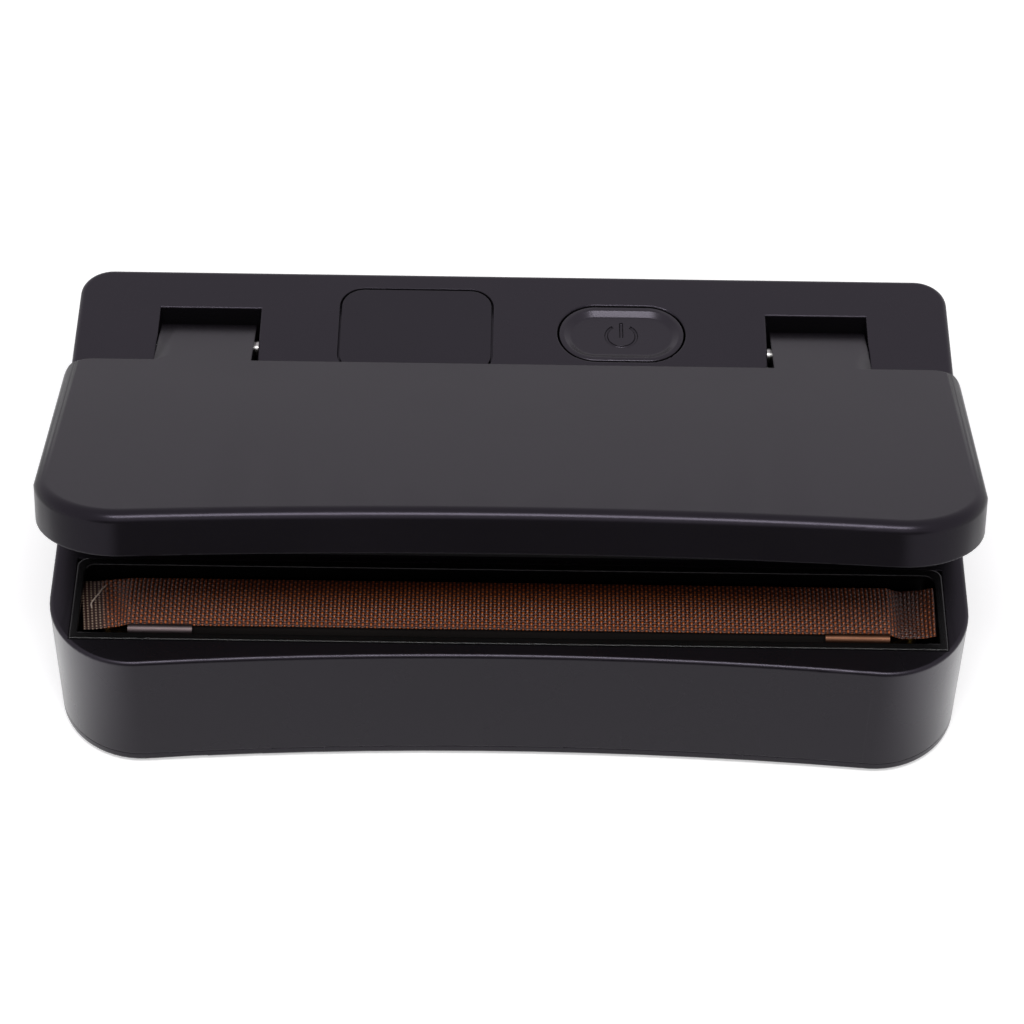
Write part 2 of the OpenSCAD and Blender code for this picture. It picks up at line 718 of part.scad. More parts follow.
// hollow flank between the rim and the floor of the dish
module dish_cut() {
    r = (dish_slope * dish_slope + dish_depth * dish_depth) / (2 * dish_depth);
    intersection() {
        translate([-button_rim - dish_slope, -dish_depth]) square([dish_slope, dish_depth + over]);
        translate([-button_rim - dish_slope, r - dish_depth]) circle(r);
    }
}

// ring with a gap at the rear and a bar through it
module power_mark() {
    ring_d = 6.9;
    line = 0.7;
    mark_gap = 3.5;
    translate([0, -0.5]) {
        difference() {
            circle(d = ring_d);
            circle(d = ring_d - 2 * line);
            translate([-mark_gap / 2, 0]) square([mark_gap, ring_d]);
        }
        translate([-line / 2, -0.75]) square([line, ring_d / 2 + 0.75]);
    }
}

module battery_cells() {
    color([0.2, 0.4, 0.6]) for (y = cell_y) translate([cell_x, y, cell_z]) rotate([0, 90, 0]) {
        cylinder(d = cell_d, h = cell_l);
        cylinder_at(6, cell_l - 0.1, cell_l + 0.9);
    }
}

module battery_cradle() {
    color([0.15, 0.15, 0.15]) difference() {
        block(cell_x - 1.6, cell_x + cell_l + 2.6, cell_y[0] - 8, cell_y[1] + 8, cover_top, cell_z - 1);
        for (y = cell_y) translate([cell_x, y, cell_z]) rotate([0, 90, 0]) {
            cylinder_at(cell_d + 0.04, -0.2, cell_l + 0.2);
            cylinder_at(7, cell_l, cell_l + 1.2);
        }
        block(cell_x + 8, cell_x + cell_l - 8, cell_y[0] - 10, cell_y[1] + 10, cover_top + 2.4, cell_z);
    }
}

module control_board() {
    x = cheek - slot_x0 + 1.15;
    y = trough_y + trough_d / 2 + 1;
    z = cell_top + 0.8;
    color(board_colour) {
        block(x, x + 36, y, cell_y[1] + 6, z, z + board_t);
        for (px = [x + 2, x + 34], py = cell_y) translate([px, py, 0]) cylinder_at(4, cell_top, z + 0.1);
        block(x + 3, x + 14, y + 3, y + 13, z + board_t, z + board_t + 2.4);
        for (i = [0:2]) block(x + 5 + 7 * i, x + 9 + 7 * i, y + 17, y + 24, z + board_t, z + board_t + 1.6);
        translate([x + 26, y + 8, 0]) cylinder_at(6, z + board_t - 0.1, z + board_t + 4);
    }
}

module charge_socket() {
    color(metal_colour) translate([socket_x, 0, socket_z]) {
        difference() {
            along_y(rear_y - wall - 6, wall + 5) stadium(socket_w, socket_h);
            along_y(rear_y - wall - 5, wall + 6) stadium(socket_w - 0.7, socket_h - 0.7);
        }
        along_y(rear_y - wall - 5.5, 5) square([6.6, 0.7], center = true);
    }
}

module charge_board() {
    z = socket_z - socket_h / 2 - board_t;
    color(board_colour) {
        block(socket_x - 9, socket_x + 6.3, rear_y - 20.35, rear_y - wall - 0.6, z, z + board_t);
        for (x = [-7, 4.5], y = [rear_y - 18.35, rear_y - 5.25])
            translate([socket_x + x, y, 0]) cylinder_at(3, cover_top, z + 0.1);
    }
}

// ---- lid ----

// the arms carry the full thickness of the lid back past the pin
module arm_profile() {
    difference() {
        union() {
            translate([lid_rear - 4, lid_bottom]) square([tail_y - lid_rear + 4 - tail_r, lid_t]);
            translate([lid_rear - 4, lid_bottom]) square([tail_y - lid_rear + 4, lid_t - tail_r]);
            translate([tail_y - tail_r, lid_top - tail_r]) circle(tail_r);
        }
        circle(d = pin_d + 2 * run_fit);
    }
}

module lid_shell() {
    w = half_w + lid_over;
    color(lid_colour) on_hinge() {
        difference() {
            slab(lid_bottom, lid_top) lid_outline();
            translate([0, 0, lid_top]) {
                run_corners(w, lid_front, lid_sag, front_r, 0) edge_cut(lid_edge);
                run_hollow(w, lid_front, lid_sag, front_r) edge_cut(lid_edge);
                run_rear(w, lid_rear, lid_rear_r, 0) edge_cut(lid_rear_edge);
            }
            for (s = [0, 1]) mirror([s, 0, 0]) along_y(lid_front, lid_rear - lid_front)
                translate([w, lid_top]) edge_cut(lid_side_edge);
            slab(lid_bottom - over, lid_top - wall) lid_outline(wall);
        }
        for (s = [0, 1]) mirror([s, 0, 0]) along_x(arm_x - arm_w / 2, arm_w) arm_profile();
        at_all(lid_screw_xy) translate([0, -hinge_y, 0]) difference() {
            cylinder_at(5.6, lid_bottom + liner_slip + liner_t, lid_top - wall / 2);
            cylinder_at(2.1, lid_bottom, lid_top - wall);
        }
    }
}

module lid_liner() {
    z = lid_bottom + liner_slip;
    color(housing_colour) on_hinge() difference() {
        slab(z, z + liner_t) difference() {
            lid_outline(wall + slip);
            for (s = [-1, 1]) translate([s * arm_x, lid_rear - 2]) square([arm_w + 1, 5], center = true);
        }
        translate([0, -hinge_y, 0]) {
            translate([0, trough_y, 0]) slab(z - over, z + liner_groove) seal_ring();
            block(-bar_w / 2, bar_w / 2, bar_y - pad_d / 2 - slip, bar_y + pad_d / 2 + slip,
                z - over, z + liner_groove);
            at_all(lid_screw_xy) {
                cylinder_at(4.6, z - over, z + 1.5);
                cylinder_at(2.3, z, z + liner_t + over);
            }
        }
    }
}

module pressure_pad() {
    z = lid_bottom + liner_slip;
    color([0.55, 0.2, 0.15]) on_hinge() translate([0, -hinge_y, 0])
        block(-bar_w / 2 + 0.4, bar_w / 2 - 0.4, bar_y - pad_d / 2, bar_y + pad_d / 2,
            lid_bottom - pad_h, z + liner_groove);
}

module lid_seal() {
    z = lid_bottom + liner_slip;
    color([0.12, 0.12, 0.12]) on_hinge() translate([0, trough_y - hinge_y, 0])
        slab(lid_bottom - lid_seal_h, z + liner_groove) seal_ring(slip / 2);
}

module lid_screws() {
    color(metal_colour) on_hinge() translate([0, -hinge_y, 0]) at_all(lid_screw_xy)
        translate([0, 0, lid_bottom + liner_slip + 0.3]) screw(4.2, 1.2, 2, 4);
}

main_housing();
base_cover();
rubber_feet();
base_screws();
heater_tray();
heater_bar();
heating_band();
band_clip_left();
band_clip_right();
ptfe_cover();
cloth_clamps();
vacuum_trough();
suction_nozzle();
vacuum_hose();
deck_seal();
display_window();
display_board();
digit_module();
button_switch();
power_button();
control_board();
battery_cells();
battery_cradle();
pump_motor();
pump_head();
pump_cradle();
charge_socket();
charge_board();
hinge_pins();
lid_shell();
lid_liner();
pressure_pad();
lid_seal();
lid_screws();
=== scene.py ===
import math

import bpy
import numpy as np
from mathutils import Matrix, Vector


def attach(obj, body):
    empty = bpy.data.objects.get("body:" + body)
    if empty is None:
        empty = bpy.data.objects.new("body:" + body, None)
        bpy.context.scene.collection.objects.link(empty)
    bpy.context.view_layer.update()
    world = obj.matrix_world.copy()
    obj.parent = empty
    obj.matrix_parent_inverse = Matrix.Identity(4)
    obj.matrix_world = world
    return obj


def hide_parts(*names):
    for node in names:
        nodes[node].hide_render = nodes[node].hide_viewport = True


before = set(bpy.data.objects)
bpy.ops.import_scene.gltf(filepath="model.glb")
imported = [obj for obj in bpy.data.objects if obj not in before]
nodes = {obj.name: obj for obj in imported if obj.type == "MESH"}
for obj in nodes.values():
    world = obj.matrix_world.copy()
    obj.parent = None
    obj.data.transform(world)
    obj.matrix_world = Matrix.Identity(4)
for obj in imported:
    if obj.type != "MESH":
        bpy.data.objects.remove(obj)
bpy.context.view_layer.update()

scene = bpy.context.scene
mm = 0.001
print("frame loaded,", len(nodes), "nodes")


def toLinear(hexColour):
    channels = [int(hexColour[i:i + 2], 16) / 255 for i in (1, 3, 5)]
    return tuple(c / 12.92 if c <= 0.04045 else ((c + 0.055) / 1.055) ** 2.4 for c in channels) + (1,)


def add(tree, kind, place, inputs=None, **settings):
    # one node with its settings; an input is a value or the socket it is linked to
    made = tree.nodes.new(kind)
    made.location = (place[0] * 220, place[1] * -200)  # column and row in the node editor
    for name, value in settings.items():
        setattr(made, name, value)
    for name, value in (inputs or {}).items():
        if isinstance(value, bpy.types.NodeSocket):
            tree.links.new(value, made.inputs[name])
        else:
            made.inputs[name].default_value = value
    return made


def newMaterial(name):
    made = bpy.data.materials.new(name)
    made.use_nodes = True
    made.node_tree.nodes.clear()
    return made, made.node_tree


def dress(material, *names):
    for name in names:
        slots = nodes[name].data.materials
        slots.clear()
        slots.append(material)


def nothingSelected():
    bpy.ops.object.select_all(action="DESELECT")


def takeOver(made):
    nothingSelected()
    bpy.context.view_layer.objects.active = made
    made.select_set(True)


def addWall(made, name, thick):
    # gives a surface its thickness, half to each side
    wall = made.modifiers.new(name, "SOLIDIFY")
    wall.thickness = thick
    wall.offset = 0
    takeOver(made)
    bpy.ops.object.modifier_apply(modifier=wall.name)


def copyNode(name, newName):
    made = nodes[name].copy()
    made.data = nodes[name].data.copy()
    made.name = newName
    scene.collection.objects.link(made)
    takeOver(made)
    return made


def mergePoints(distance=0.002 * mm):
    # a CAD mesh is loose triangles until its points are merged
    bpy.ops.object.mode_set(mode="EDIT")
    bpy.ops.mesh.select_all(action="SELECT")
    bpy.ops.mesh.remove_doubles(threshold=distance)
    bpy.ops.object.mode_set(mode="OBJECT")


cameraView = {
    "place": (0.0003, -0.44641, 0.53526),
    "tilt": 41.04,  # degrees up from looking straight down
    "roll": 0.81,
    "lens": 117.1,
    "sensor": 36,
}
cameraData = bpy.data.cameras.new("productCamera")
cameraData.lens = cameraView["lens"]
cameraData.sensor_width = cameraView["sensor"]
camera = bpy.data.objects.new("productCamera", cameraData)
scene.collection.objects.link(camera)
camera.location = cameraView["place"]
tilt = Matrix.Rotation(math.radians(cameraView["tilt"]), 4, "X")
roll = Matrix.Rotation(math.radians(cameraView["roll"]), 4, "Z")
camera.rotation_euler = (tilt @ roll).to_euler()
scene.camera = camera

# a white room: full white to the camera and to reflections, much less to matt surfaces
studio = {
    "fill": 0.28,  # what it gives to matt surfaces
    "white": 1.0,  # what is seen of it
    "airTint": "#fdf8ff",
    "frontShade": 0.93,  # how dark the unlit side is, behind the camera
    "shadeForward": {"From Min": -0.72, "From Max": -0.92},  # directions between which it fades in
    "shadeHeight": {"From Min": 0.5, "From Max": 0.3},
}
smoothly = {"interpolation_type": "SMOOTHSTEP"}

scene.world = world = bpy.data.worlds.new("whiteStudio")
world.use_nodes = True
tree = world.node_tree
tree.nodes.clear()
path = add(tree, "ShaderNodeLightPath", (0, 0))
seen = add(tree, "ShaderNodeMath", (1, 0), {0: path.outputs["Is Camera Ray"],
    1: path.outputs["Is Glossy Ray"]}, operation="MAXIMUM")
seen = add(tree, "ShaderNodeMath", (2, 0), {0: seen.outputs[0],
    1: path.outputs["Is Transmission Ray"]}, operation="MAXIMUM")
level = add(tree, "ShaderNodeMapRange", (3, 0), {"Value": seen.outputs[0], "To Min": studio["fill"],
    "To Max": studio["white"]})
aim = add(tree, "ShaderNodeTexCoord", (0, 2))
aim = add(tree, "ShaderNodeSeparateXYZ", (1, 2), {0: aim.outputs["Generated"]})
ahead = add(tree, "ShaderNodeMapRange", (2, 2), {"Value": aim.outputs["Y"], **studio["shadeForward"]},
    **smoothly)
lowDown = add(tree, "ShaderNodeMapRange", (2, 3), {"Value": aim.outputs["Z"], **studio["shadeHeight"]},
    **smoothly)
shade = add(tree, "ShaderNodeMath", (3, 2), {0: ahead.outputs[0], 1: lowDown.outputs[0]},
    operation="MULTIPLY")
shade = add(tree, "ShaderNodeMath", (4, 2), {0: shade.outputs[0], 1: studio["frontShade"]},
    operation="MULTIPLY")
unseen = add(tree, "ShaderNodeMath", (4, 1), {0: 1, 1: path.outputs["Is Camera Ray"]},
    operation="SUBTRACT")
shade = add(tree, "ShaderNodeMath", (5, 2), {0: shade.outputs[0], 1: unseen.outputs[0]},
    operation="MULTIPLY")
lit = add(tree, "ShaderNodeMath", (6, 2), {0: 1, 1: shade.outputs[0]}, operation="SUBTRACT")
level = add(tree, "ShaderNodeMath", (6, 0), {0: level.outputs[0], 1: lit.outputs[0]},
    operation="MULTIPLY")
airTint = add(tree, "ShaderNodeMix", (6, 1), {"Factor": unseen.outputs[0], "A": (1, 1, 1, 1),
    "B": toLinear(studio["airTint"])}, data_type="RGBA")
back = add(tree, "ShaderNodeBackground", (7, 0), {"Color": airTint.outputs["Result"],
    "Strength": level.outputs[0]})
add(tree, "ShaderNodeOutputWorld", (8, 0), {"Surface": back.outputs[0]})

# matt white paper with painted light: a glow that reflections see round the object, and painted black to
# them in front of it; ranges in metres from its middle
paperFloorAndGlow = {
    "size": 4,
    "paper": "#e8e8e8",
    # painted light: reflections see it glow beside the front corners
    "glowStart": {"From Min": 0.07, "From Max": 0.11, "To Max": 1.0},
    "glowEnd": {"From Min": 0.2, "From Max": 0.14},
    "glowAhead": {"From Min": 0, "From Max": -0.03},
    # and glow far out
    "farOut": {"From Min": 0.25, "From Max": 0.9, "To Min": 0.15, "To Max": 0.65},
    # and painted black in front
    "darkAhead": {"From Min": -0.09, "From Max": -0.15, "To Max": 0.93},
    "darkAcross": {"From Min": 0.2, "From Max": 0.1},
    # close to the object the camera's white is held back, so its shadow shows
    "nearWhite": {"From Min": 0.12, "From Max": 0.24, "To Min": 0.5, "To Max": 1},
}
nothingSelected()
bpy.ops.mesh.primitive_plane_add(size=paperFloorAndGlow["size"], location=(0, 0, 0))
floor = bpy.context.object
floor.name = "studioFloor"
paper, tree = newMaterial("paperWithPaintedGlow")
path = add(tree, "ShaderNodeLightPath", (0, 0))
seen = add(tree, "ShaderNodeMath", (1, 0), {0: path.outputs["Is Glossy Ray"],
    1: path.outputs["Is Transmission Ray"]}, operation="MAXIMUM")
place = add(tree, "ShaderNodeTexCoord", (0, 2)).outputs["Object"]
spot = add(tree, "ShaderNodeSeparateXYZ", (1, 2), {0: place})
across = add(tree, "ShaderNodeMath", (2, 2), {0: spot.outputs["X"]}, operation="ABSOLUTE")
reach = add(tree, "ShaderNodeVectorMath", (2, 5), {0: place}, operation="LENGTH")
beside = add(tree, "ShaderNodeMapRange", (3, 2), {"Value": across.outputs[0],
    **paperFloorAndGlow["glowStart"]}, **smoothly)
near = add(tree, "ShaderNodeMapRange", (3, 1), {"Value": across.outputs[0], **paperFloorAndGlow["glowEnd"]},
    **smoothly)
ahead = add(tree, "ShaderNodeMapRange", (3, 0), {"Value": spot.outputs["Y"],
    **paperFloorAndGlow["glowAhead"]}, **smoothly)
beside = add(tree, "ShaderNodeMath", (4, 1), {0: beside.outputs[0], 1: near.outputs[0]},
    operation="MULTIPLY")
beside = add(tree, "ShaderNodeMath", (4, 0), {0: beside.outputs[0], 1: ahead.outputs[0]},
    operation="MULTIPLY")
inFront = add(tree, "ShaderNodeMapRange", (3, 3), {"Value": spot.outputs["Y"],
    **paperFloorAndGlow["darkAhead"]}, **smoothly)
narrow = add(tree, "ShaderNodeMapRange", (3, 4), {"Value": across.outputs[0],
    **paperFloorAndGlow["darkAcross"]}, **smoothly)
shade = add(tree, "ShaderNodeMath", (4, 3), {0: inFront.outputs[0], 1: narrow.outputs[0]},
    operation="MULTIPLY")
shade = add(tree, "ShaderNodeMath", (5, 3), {0: shade.outputs[0], 1: seen.outputs[0]},
    operation="MULTIPLY")
farOut = add(tree, "ShaderNodeMapRange", (3, 5), {"Value": reach.outputs["Value"],
    **paperFloorAndGlow["farOut"]}, **smoothly)
glow = add(tree, "ShaderNodeMath", (4, 2), {0: beside.outputs[0], 1: farOut.outputs[0]},
    operation="ADD")
glow = add(tree, "ShaderNodeMath", (5, 2), {0: glow.outputs[0], 1: seen.outputs[0]},
    operation="MULTIPLY")
held = add(tree, "ShaderNodeMapRange", (3, 6), {"Value": reach.outputs["Value"],
    **paperFloorAndGlow["nearWhite"]}, **smoothly)
held = add(tree, "ShaderNodeMath", (5, 5), {0: held.outputs[0], 1: path.outputs["Is Camera Ray"]},
    operation="MULTIPLY")
glow = add(tree, "ShaderNodeMath", (6, 2), {0: glow.outputs[0], 1: held.outputs[0]},
    operation="ADD")
matt = add(tree, "ShaderNodeBsdfDiffuse", (5, 1), {"Color": toLinear(paperFloorAndGlow["paper"])})
# painted light: the floor's own glow, seen in reflections, plus its white to the camera
shine = add(tree, "ShaderNodeEmission", (7, 2), {"Color": (1, 1, 1, 1), "Strength": glow.outputs[0]})
both = add(tree, "ShaderNodeAddShader", (8, 1), {0: matt.outputs[0], 1: shine.outputs[0]})
black = add(tree, "ShaderNodeEmission", (7, 3), {"Color": (0, 0, 0, 1), "Strength": 0})
paperAndPaintedGlow = add(tree, "ShaderNodeMixShader", (9, 1), {0: shade.outputs[0], 1: both.outputs[0],
    2: black.outputs[0]})
add(tree, "ShaderNodeOutputMaterial", (10, 0), {"Surface": paperAndPaintedGlow.outputs[0]})
floor.data.materials.append(paper)

lamps = [
    {"name": "overheadSoftbox", "place": (0, -0.5, 1.22), "size": (0.66, 0.3), "watts": 11},
    {"name": "frontSoftbox", "place": (0, -1.0, 0.86), "size": (0.9, 0.12), "watts": 0.5},
]
for lamp in lamps:
    data = bpy.data.lights.new(lamp["name"], "AREA")
    data.shape = "RECTANGLE"
    data.size, data.size_y = lamp["size"]
    data.energy = lamp["watts"]
    made = bpy.data.objects.new(lamp["name"], data)
    scene.collection.objects.link(made)
    made.location = lamp["place"]
    made.rotation_euler = (-made.location).to_track_quat("-Z", "Y").to_euler()
print("studio ready")

mouldSkin = {
    "cloud": 24 * mm,  # slow changes of gloss, from handling
    "cloudSpan": {"From Min": 0.3, "From Max": 0.7},
    "smoother": 0.02,
    "rougher": 0.03,
    "depth": 0.02 * mm,  # of the eroded texture
}


def mouldedPlastic(name, look):
    # injection moulded: an even colour, a fine eroded texture and edges rounded in the shading
    made, tree = newMaterial(name)
    place = add(tree, "ShaderNodeTexCoord", (0, 0)).outputs["Object"]
    cloud = add(tree, "ShaderNodeTexNoise", (1, 0), {"Vector": place, "Scale": 1 / mouldSkin["cloud"],
        "Detail": 4})
    grain = add(tree, "ShaderNodeTexNoise", (1, 2), {"Vector": place, "Scale": 1 / look["grain"],
        "Detail": 2})
    rough = add(tree, "ShaderNodeMapRange", (2, 0), {"Value": cloud.outputs["Fac"],
        **mouldSkin["cloudSpan"], "To Min": look["rough"] - mouldSkin["smoother"],
        "To Max": look["rough"] + mouldSkin["rougher"]})
    tint = add(tree, "ShaderNodeMix", (2, 1), {"Factor": cloud.outputs["Fac"],
        "A": toLinear(look["dark"]), "B": toLinear(look["light"])}, data_type="RGBA")
    bump = add(tree, "ShaderNodeBump", (2, 2), {"Height": grain.outputs["Fac"],
        "Strength": look["relief"], "Distance": mouldSkin["depth"]})
    if look["edge"]:
        soft = add(tree, "ShaderNodeBevel", (1, 3), {"Radius": look["edge"]}, samples=4)
        tree.links.new(soft.outputs[0], bump.inputs["Normal"])
    shader = add(tree, "ShaderNodeBsdfPrincipled", (3, 0), {"Base Color": tint.outputs["Result"],
        "Roughness": rough.outputs[0], "IOR": look["ior"], "Normal": bump.outputs[0],
        "Specular Tint": toLinear(look.get("sheen", "#ffffff"))})
    add(tree, "ShaderNodeOutputMaterial", (4, 0), {"Surface": shader.outputs[0]})
    return made


# ABS from a spark-eroded tool: near black, with a soft and faintly violet sheen
housingAbs = mouldedPlastic("satinBlackAbs", {"dark": "#100f11", "light": "#141215",
    "sheen": "#f2e8ff", "grain": 0.3 * mm, "rough": 0.27, "relief": 0.12, "edge": 0.3 * mm, "ior": 1.38})
# ABS from a smoother tool: the same black with a clearer sheen along its roundings
lidAbs = mouldedPlastic("satinBlackLidAbs", {"dark": "#121013", "light": "#151316",
    "sheen": "#f0e6ff", "grain": 0.3 * mm, "rough": 0.24, "relief": 0.1, "edge": 0.4 * mm, "ior": 1.29})
# ABS key that fingers have polished: its dish shows one even grey
buttonAbs = mouldedPlastic("satinBlackButtonAbs", {"dark": "#121013", "light": "#151316",
    "sheen": "#f4ecff", "grain": 0.3 * mm, "rough": 0.26, "relief": 0.08, "edge": 0.1 * mm, "ior": 1.42})
# nylon that stands heat: a deeper black, with thin bright lines on its lips
trayNylon = mouldedPlastic("blackHeatResistantNylon", {"dark": "#0b0b0b", "light": "#0f0f0f",
    "grain": 0.25 * mm, "rough": 0.22, "relief": 0.1, "edge": 0.35 * mm, "ior": 1.55})
# pressed rubber: dull and slightly grey
blackRubber = mouldedPlastic("blackRubber", {"dark": "#141414", "light": "#1c1c1c",
    "grain": 0.4 * mm, "rough": 0.65, "relief": 0.4, "edge": 0.2 * mm, "ior": 1.5})
# cured silicone: brick red and waxy
redSilicone = mouldedPlastic("redSilicone", {"dark": "#5a1d14", "light": "#6b241a",
    "grain": 0.5 * mm, "rough": 0.55, "relief": 0.2, "edge": 0.2 * mm, "ior": 1.42})
# smoked acrylic: black and smoother than the deck until the digits behind it light
windowAcrylic = mouldedPlastic("smokedAcrylic", {"dark": "#0e0d0f", "light": "#100f11",
    "sheen": "#f2e8ff", "grain": 0.3 * mm, "rough": 0.24, "relief": 0.04, "edge": 0.15 * mm,
    "ior": 1.37})
# glass-filled nylon, unpolished: brown-black and dry
barPlastic = mouldedPlastic("mattFilledNylon", {"dark": "#0e0b0a", "light": "#15110f",
    "grain": 0.25 * mm, "rough": 0.6, "relief": 0.2, "edge": 0.2 * mm, "ior": 1.4})
# moulded acetal: ivory with a soft gloss
paleAcetal = mouldedPlastic("paleMouldedAcetal", {"dark": "#c9c8c0", "light": "#d8d7cf",
    "grain": 0.4 * mm, "rough": 0.42, "relief": 0.15, "edge": 0.25 * mm, "ior": 1.48})
# extruded silicone hose: milky, softly glossy
milkySilicone = mouldedPlastic("milkySiliconeHose", {"dark": "#c2c1ba", "light": "#d2d1cb",
    "grain": 0.6 * mm, "rough": 0.4, "relief": 0.1, "edge": 0, "ior": 1.42})
# shrunk vinyl film round the cells: blue, tight and glossy
cellWrap = mouldedPlastic("blueShrinkWrap", {"dark": "#12305f", "light": "#163a70",
    "grain": 0.8 * mm, "rough": 0.24, "relief": 0.12, "edge": 0.3 * mm, "ior": 1.5})
# cast epoxy: black with a clean even gloss
blackEpoxy = mouldedPlastic("castBlackEpoxy", {"dark": "#0d0d0e", "light": "#131314",
    "grain": 0.3 * mm, "rough": 0.3, "relief": 0.1, "edge": 0.15 * mm, "ior": 1.52})

metalSkin = {
    "line": 0.12 * mm,  # rolling lines, drawn coarser than real ones so that they show
    "cloud": 3 * mm,
    "spread": 0.08,  # of the roughness, both ways
    "relief": 0.2,
    "depth": 0.01 * mm,
}


def metalSheet(name, look):
    # rolled or drawn metal: fine lines along the strip and a slightly uneven gloss
    made, tree = newMaterial(name)
    place = add(tree, "ShaderNodeTexCoord", (0, 0)).outputs["Object"]
    stretched = add(tree, "ShaderNodeMapping", (1, 0), {"Vector": place, "Scale": look["lines"]})
    lines = add(tree, "ShaderNodeTexNoise", (2, 0), {"Vector": stretched.outputs[0],
        "Scale": 1 / metalSkin["line"], "Detail": 3})
    cloud = add(tree, "ShaderNodeTexNoise", (2, 1), {"Vector": place,
        "Scale": 1 / metalSkin["cloud"], "Detail": 2})
    tone = add(tree, "ShaderNodeMix", (3, 0), {"Factor": cloud.outputs["Fac"],
        "A": toLinear(look["dark"]), "B": toLinear(look["light"])}, data_type="RGBA")
    rough = add(tree, "ShaderNodeMapRange", (3, 1), {"Value": lines.outputs["Fac"],
        "To Min": look["rough"] - metalSkin["spread"], "To Max": look["rough"] + metalSkin["spread"]})
    bump = add(tree, "ShaderNodeBump", (3, 2), {"Height": lines.outputs["Fac"],
        "Strength": metalSkin["relief"], "Distance": metalSkin["depth"]})
    shader = add(tree, "ShaderNodeBsdfPrincipled", (4, 0), {"Base Color": tone.outputs["Result"],
        "Metallic": 1, "Roughness": rough.outputs[0], "Normal": bump.outputs[0]})
    add(tree, "ShaderNodeOutputMaterial", (5, 0), {"Surface": shader.outputs[0]})
    return made


# plated steel: pale grey, satin, the same every way
satinSteel = metalSheet("zincPlatedSteel", {"dark": "#a6a5a3", "light": "#bdbcba", "rough": 0.32,
    "lines": (1, 1, 1)})
# cold-rolled steel: dark, with lines along the strip
rolledSteel = metalSheet("rolledSteelStrip", {"dark": "#463e3f", "light": "#564d4d", "rough": 0.46,
    "lines": (0.04, 1, 1)})
# the same strip with a thin wash of copper: warmer
copperedSteel = metalSheet("copperedSteelStrip", {"dark": "#4c3326", "light": "#5c4031", "rough": 0.44,
    "lines": (0.04, 1, 1)})
# nickel-chrome ribbon that heat has dulled
nichrome = metalSheet("nichromeRibbon", {"dark": "#6d6259", "light": "#857a70", "rough": 0.36,
    "lines": (0.04, 1, 1)})
# rolled spring brass: yellow, with faint lines
springBrass = metalSheet("springBrass", {"dark": "#b08c46", "light": "#c9a55c", "rough": 0.28,
    "lines": (0.1, 1, 1)})

# glass-epoxy board under solder mask: glossy green with the weave and the copper just showing through
boardLook = {
    "mask": ("#0b3d22", "#1b6238"),  # over bare board, over copper
    "weave": 2.5 * mm,  # drawn coarser than real glass cloth so that it shows
    "tracks": 9 * mm,
    "depth": 0.02 * mm,
}
solderMask, tree = newMaterial("greenSolderMask")
place = add(tree, "ShaderNodeTexCoord", (0, 0)).outputs["Object"]
weave = add(tree, "ShaderNodeTexWave", (1, 0), {"Vector": place, "Scale": 1 / boardLook["weave"],
    "Distortion": 0.2}, bands_direction="X")
copper = add(tree, "ShaderNodeTexBrick", (1, 1), {"Vector": place, "Scale": 1 / boardLook["tracks"],
    "Mortar Size": 0.03, "Brick Width": 0.7, "Row Height": 0.22, "Color1": (0, 0, 0, 1),
    "Color2": (0.3, 0.3, 0.3, 1), "Mortar": (1, 1, 1, 1)})
tone = add(tree, "ShaderNodeMix", (2, 0), {"Factor": copper.outputs["Color"],
    "A": toLinear(boardLook["mask"][0]), "B": toLinear(boardLook["mask"][1])}, data_type="RGBA")
bump = add(tree, "ShaderNodeBump", (2, 1), {"Height": weave.outputs["Fac"], "Strength": 0.15,
    "Distance": boardLook["depth"]})
shader = add(tree, "ShaderNodeBsdfPrincipled", (3, 0), {"Base Color": tone.outputs["Result"],
    "Roughness": 0.25, "Normal": bump.outputs[0]})
add(tree, "ShaderNodeOutputMaterial", (4, 0), {"Surface": shader.outputs[0]})
print("plastics, metals and boards ready")

# the woven cover: one sheet over the heater bar, with a loose flap past each end
clothCover = {
    "length": 167.8 * mm,  # flat, along the bar
    "width": 14.4 * mm,  # flat, across it
    "ahead": 5.3 * mm,  # of the width, what lies in front of the bar's centre line
    "thick": 0.16 * mm,
    "barY": -33.15 * mm,
    "topZ": 32.225 * mm,
    "barHalf": 73.7 * mm,
    "crownRadius": 35.2 * mm,
    # a fold: where it starts, its radius, its angle, and how much of that a flap loses
    "rearFold": (6.1 * mm, 0.62 * mm, 90, 12),
    "frontFold": (4.05 * mm, 1 * mm, 64, 46),
    "foldRun": 2.35,  # length of a square fold, in radii
    "crownLean": 0.15,  # what the crown leans where the folds start
    # a flap's slopes: off the bar's end, lying, curled at the tip
    "leftFlap": (0.46, 0.13, 0.1),
    "rightFlap": (0.6, -0.02, -0.42),
    # past the bar's end: where those slopes begin, change and finish, and where the cloth comes loose
    "fallStart": (0, 1.3 * mm),
    "fallEnd": (2.6 * mm, 4.6 * mm),
    "lyingEnd": (6 * mm, 8 * mm),
    "curlStart": (6 * mm, 8.5 * mm),
    "loosens": (0.3 * mm, 5 * mm),
    "endCuts": (1.1 * mm, 0.15 * mm),  # how far the left and right ends are from square
    "cutOver": 9 * mm,
    "ripple": {"height": 0.05 * mm, "along": 5.1 * mm, "sway": 1.3, "swayAlong": 13 * mm,
        "across": 3.3 * mm, "shift": 0.7, "lost": 0.6},
    "wave": {"height": 0.22 * mm, "across": 2.2 * mm, "along": 1.9 * mm},
    "stepsAlong": 420,
    "stepsBehind": 26,
    "stepsAhead": 18,
    "warpPitch": 0.8 * mm,  # between threads that run over the bar
    "weftPitch": 0.62 * mm,  # between threads that run along it
}


def smooth(x, start, end):
    t = min(max((x - start) / (end - start), 0), 1)
    return t * t * (3 - 2 * t)


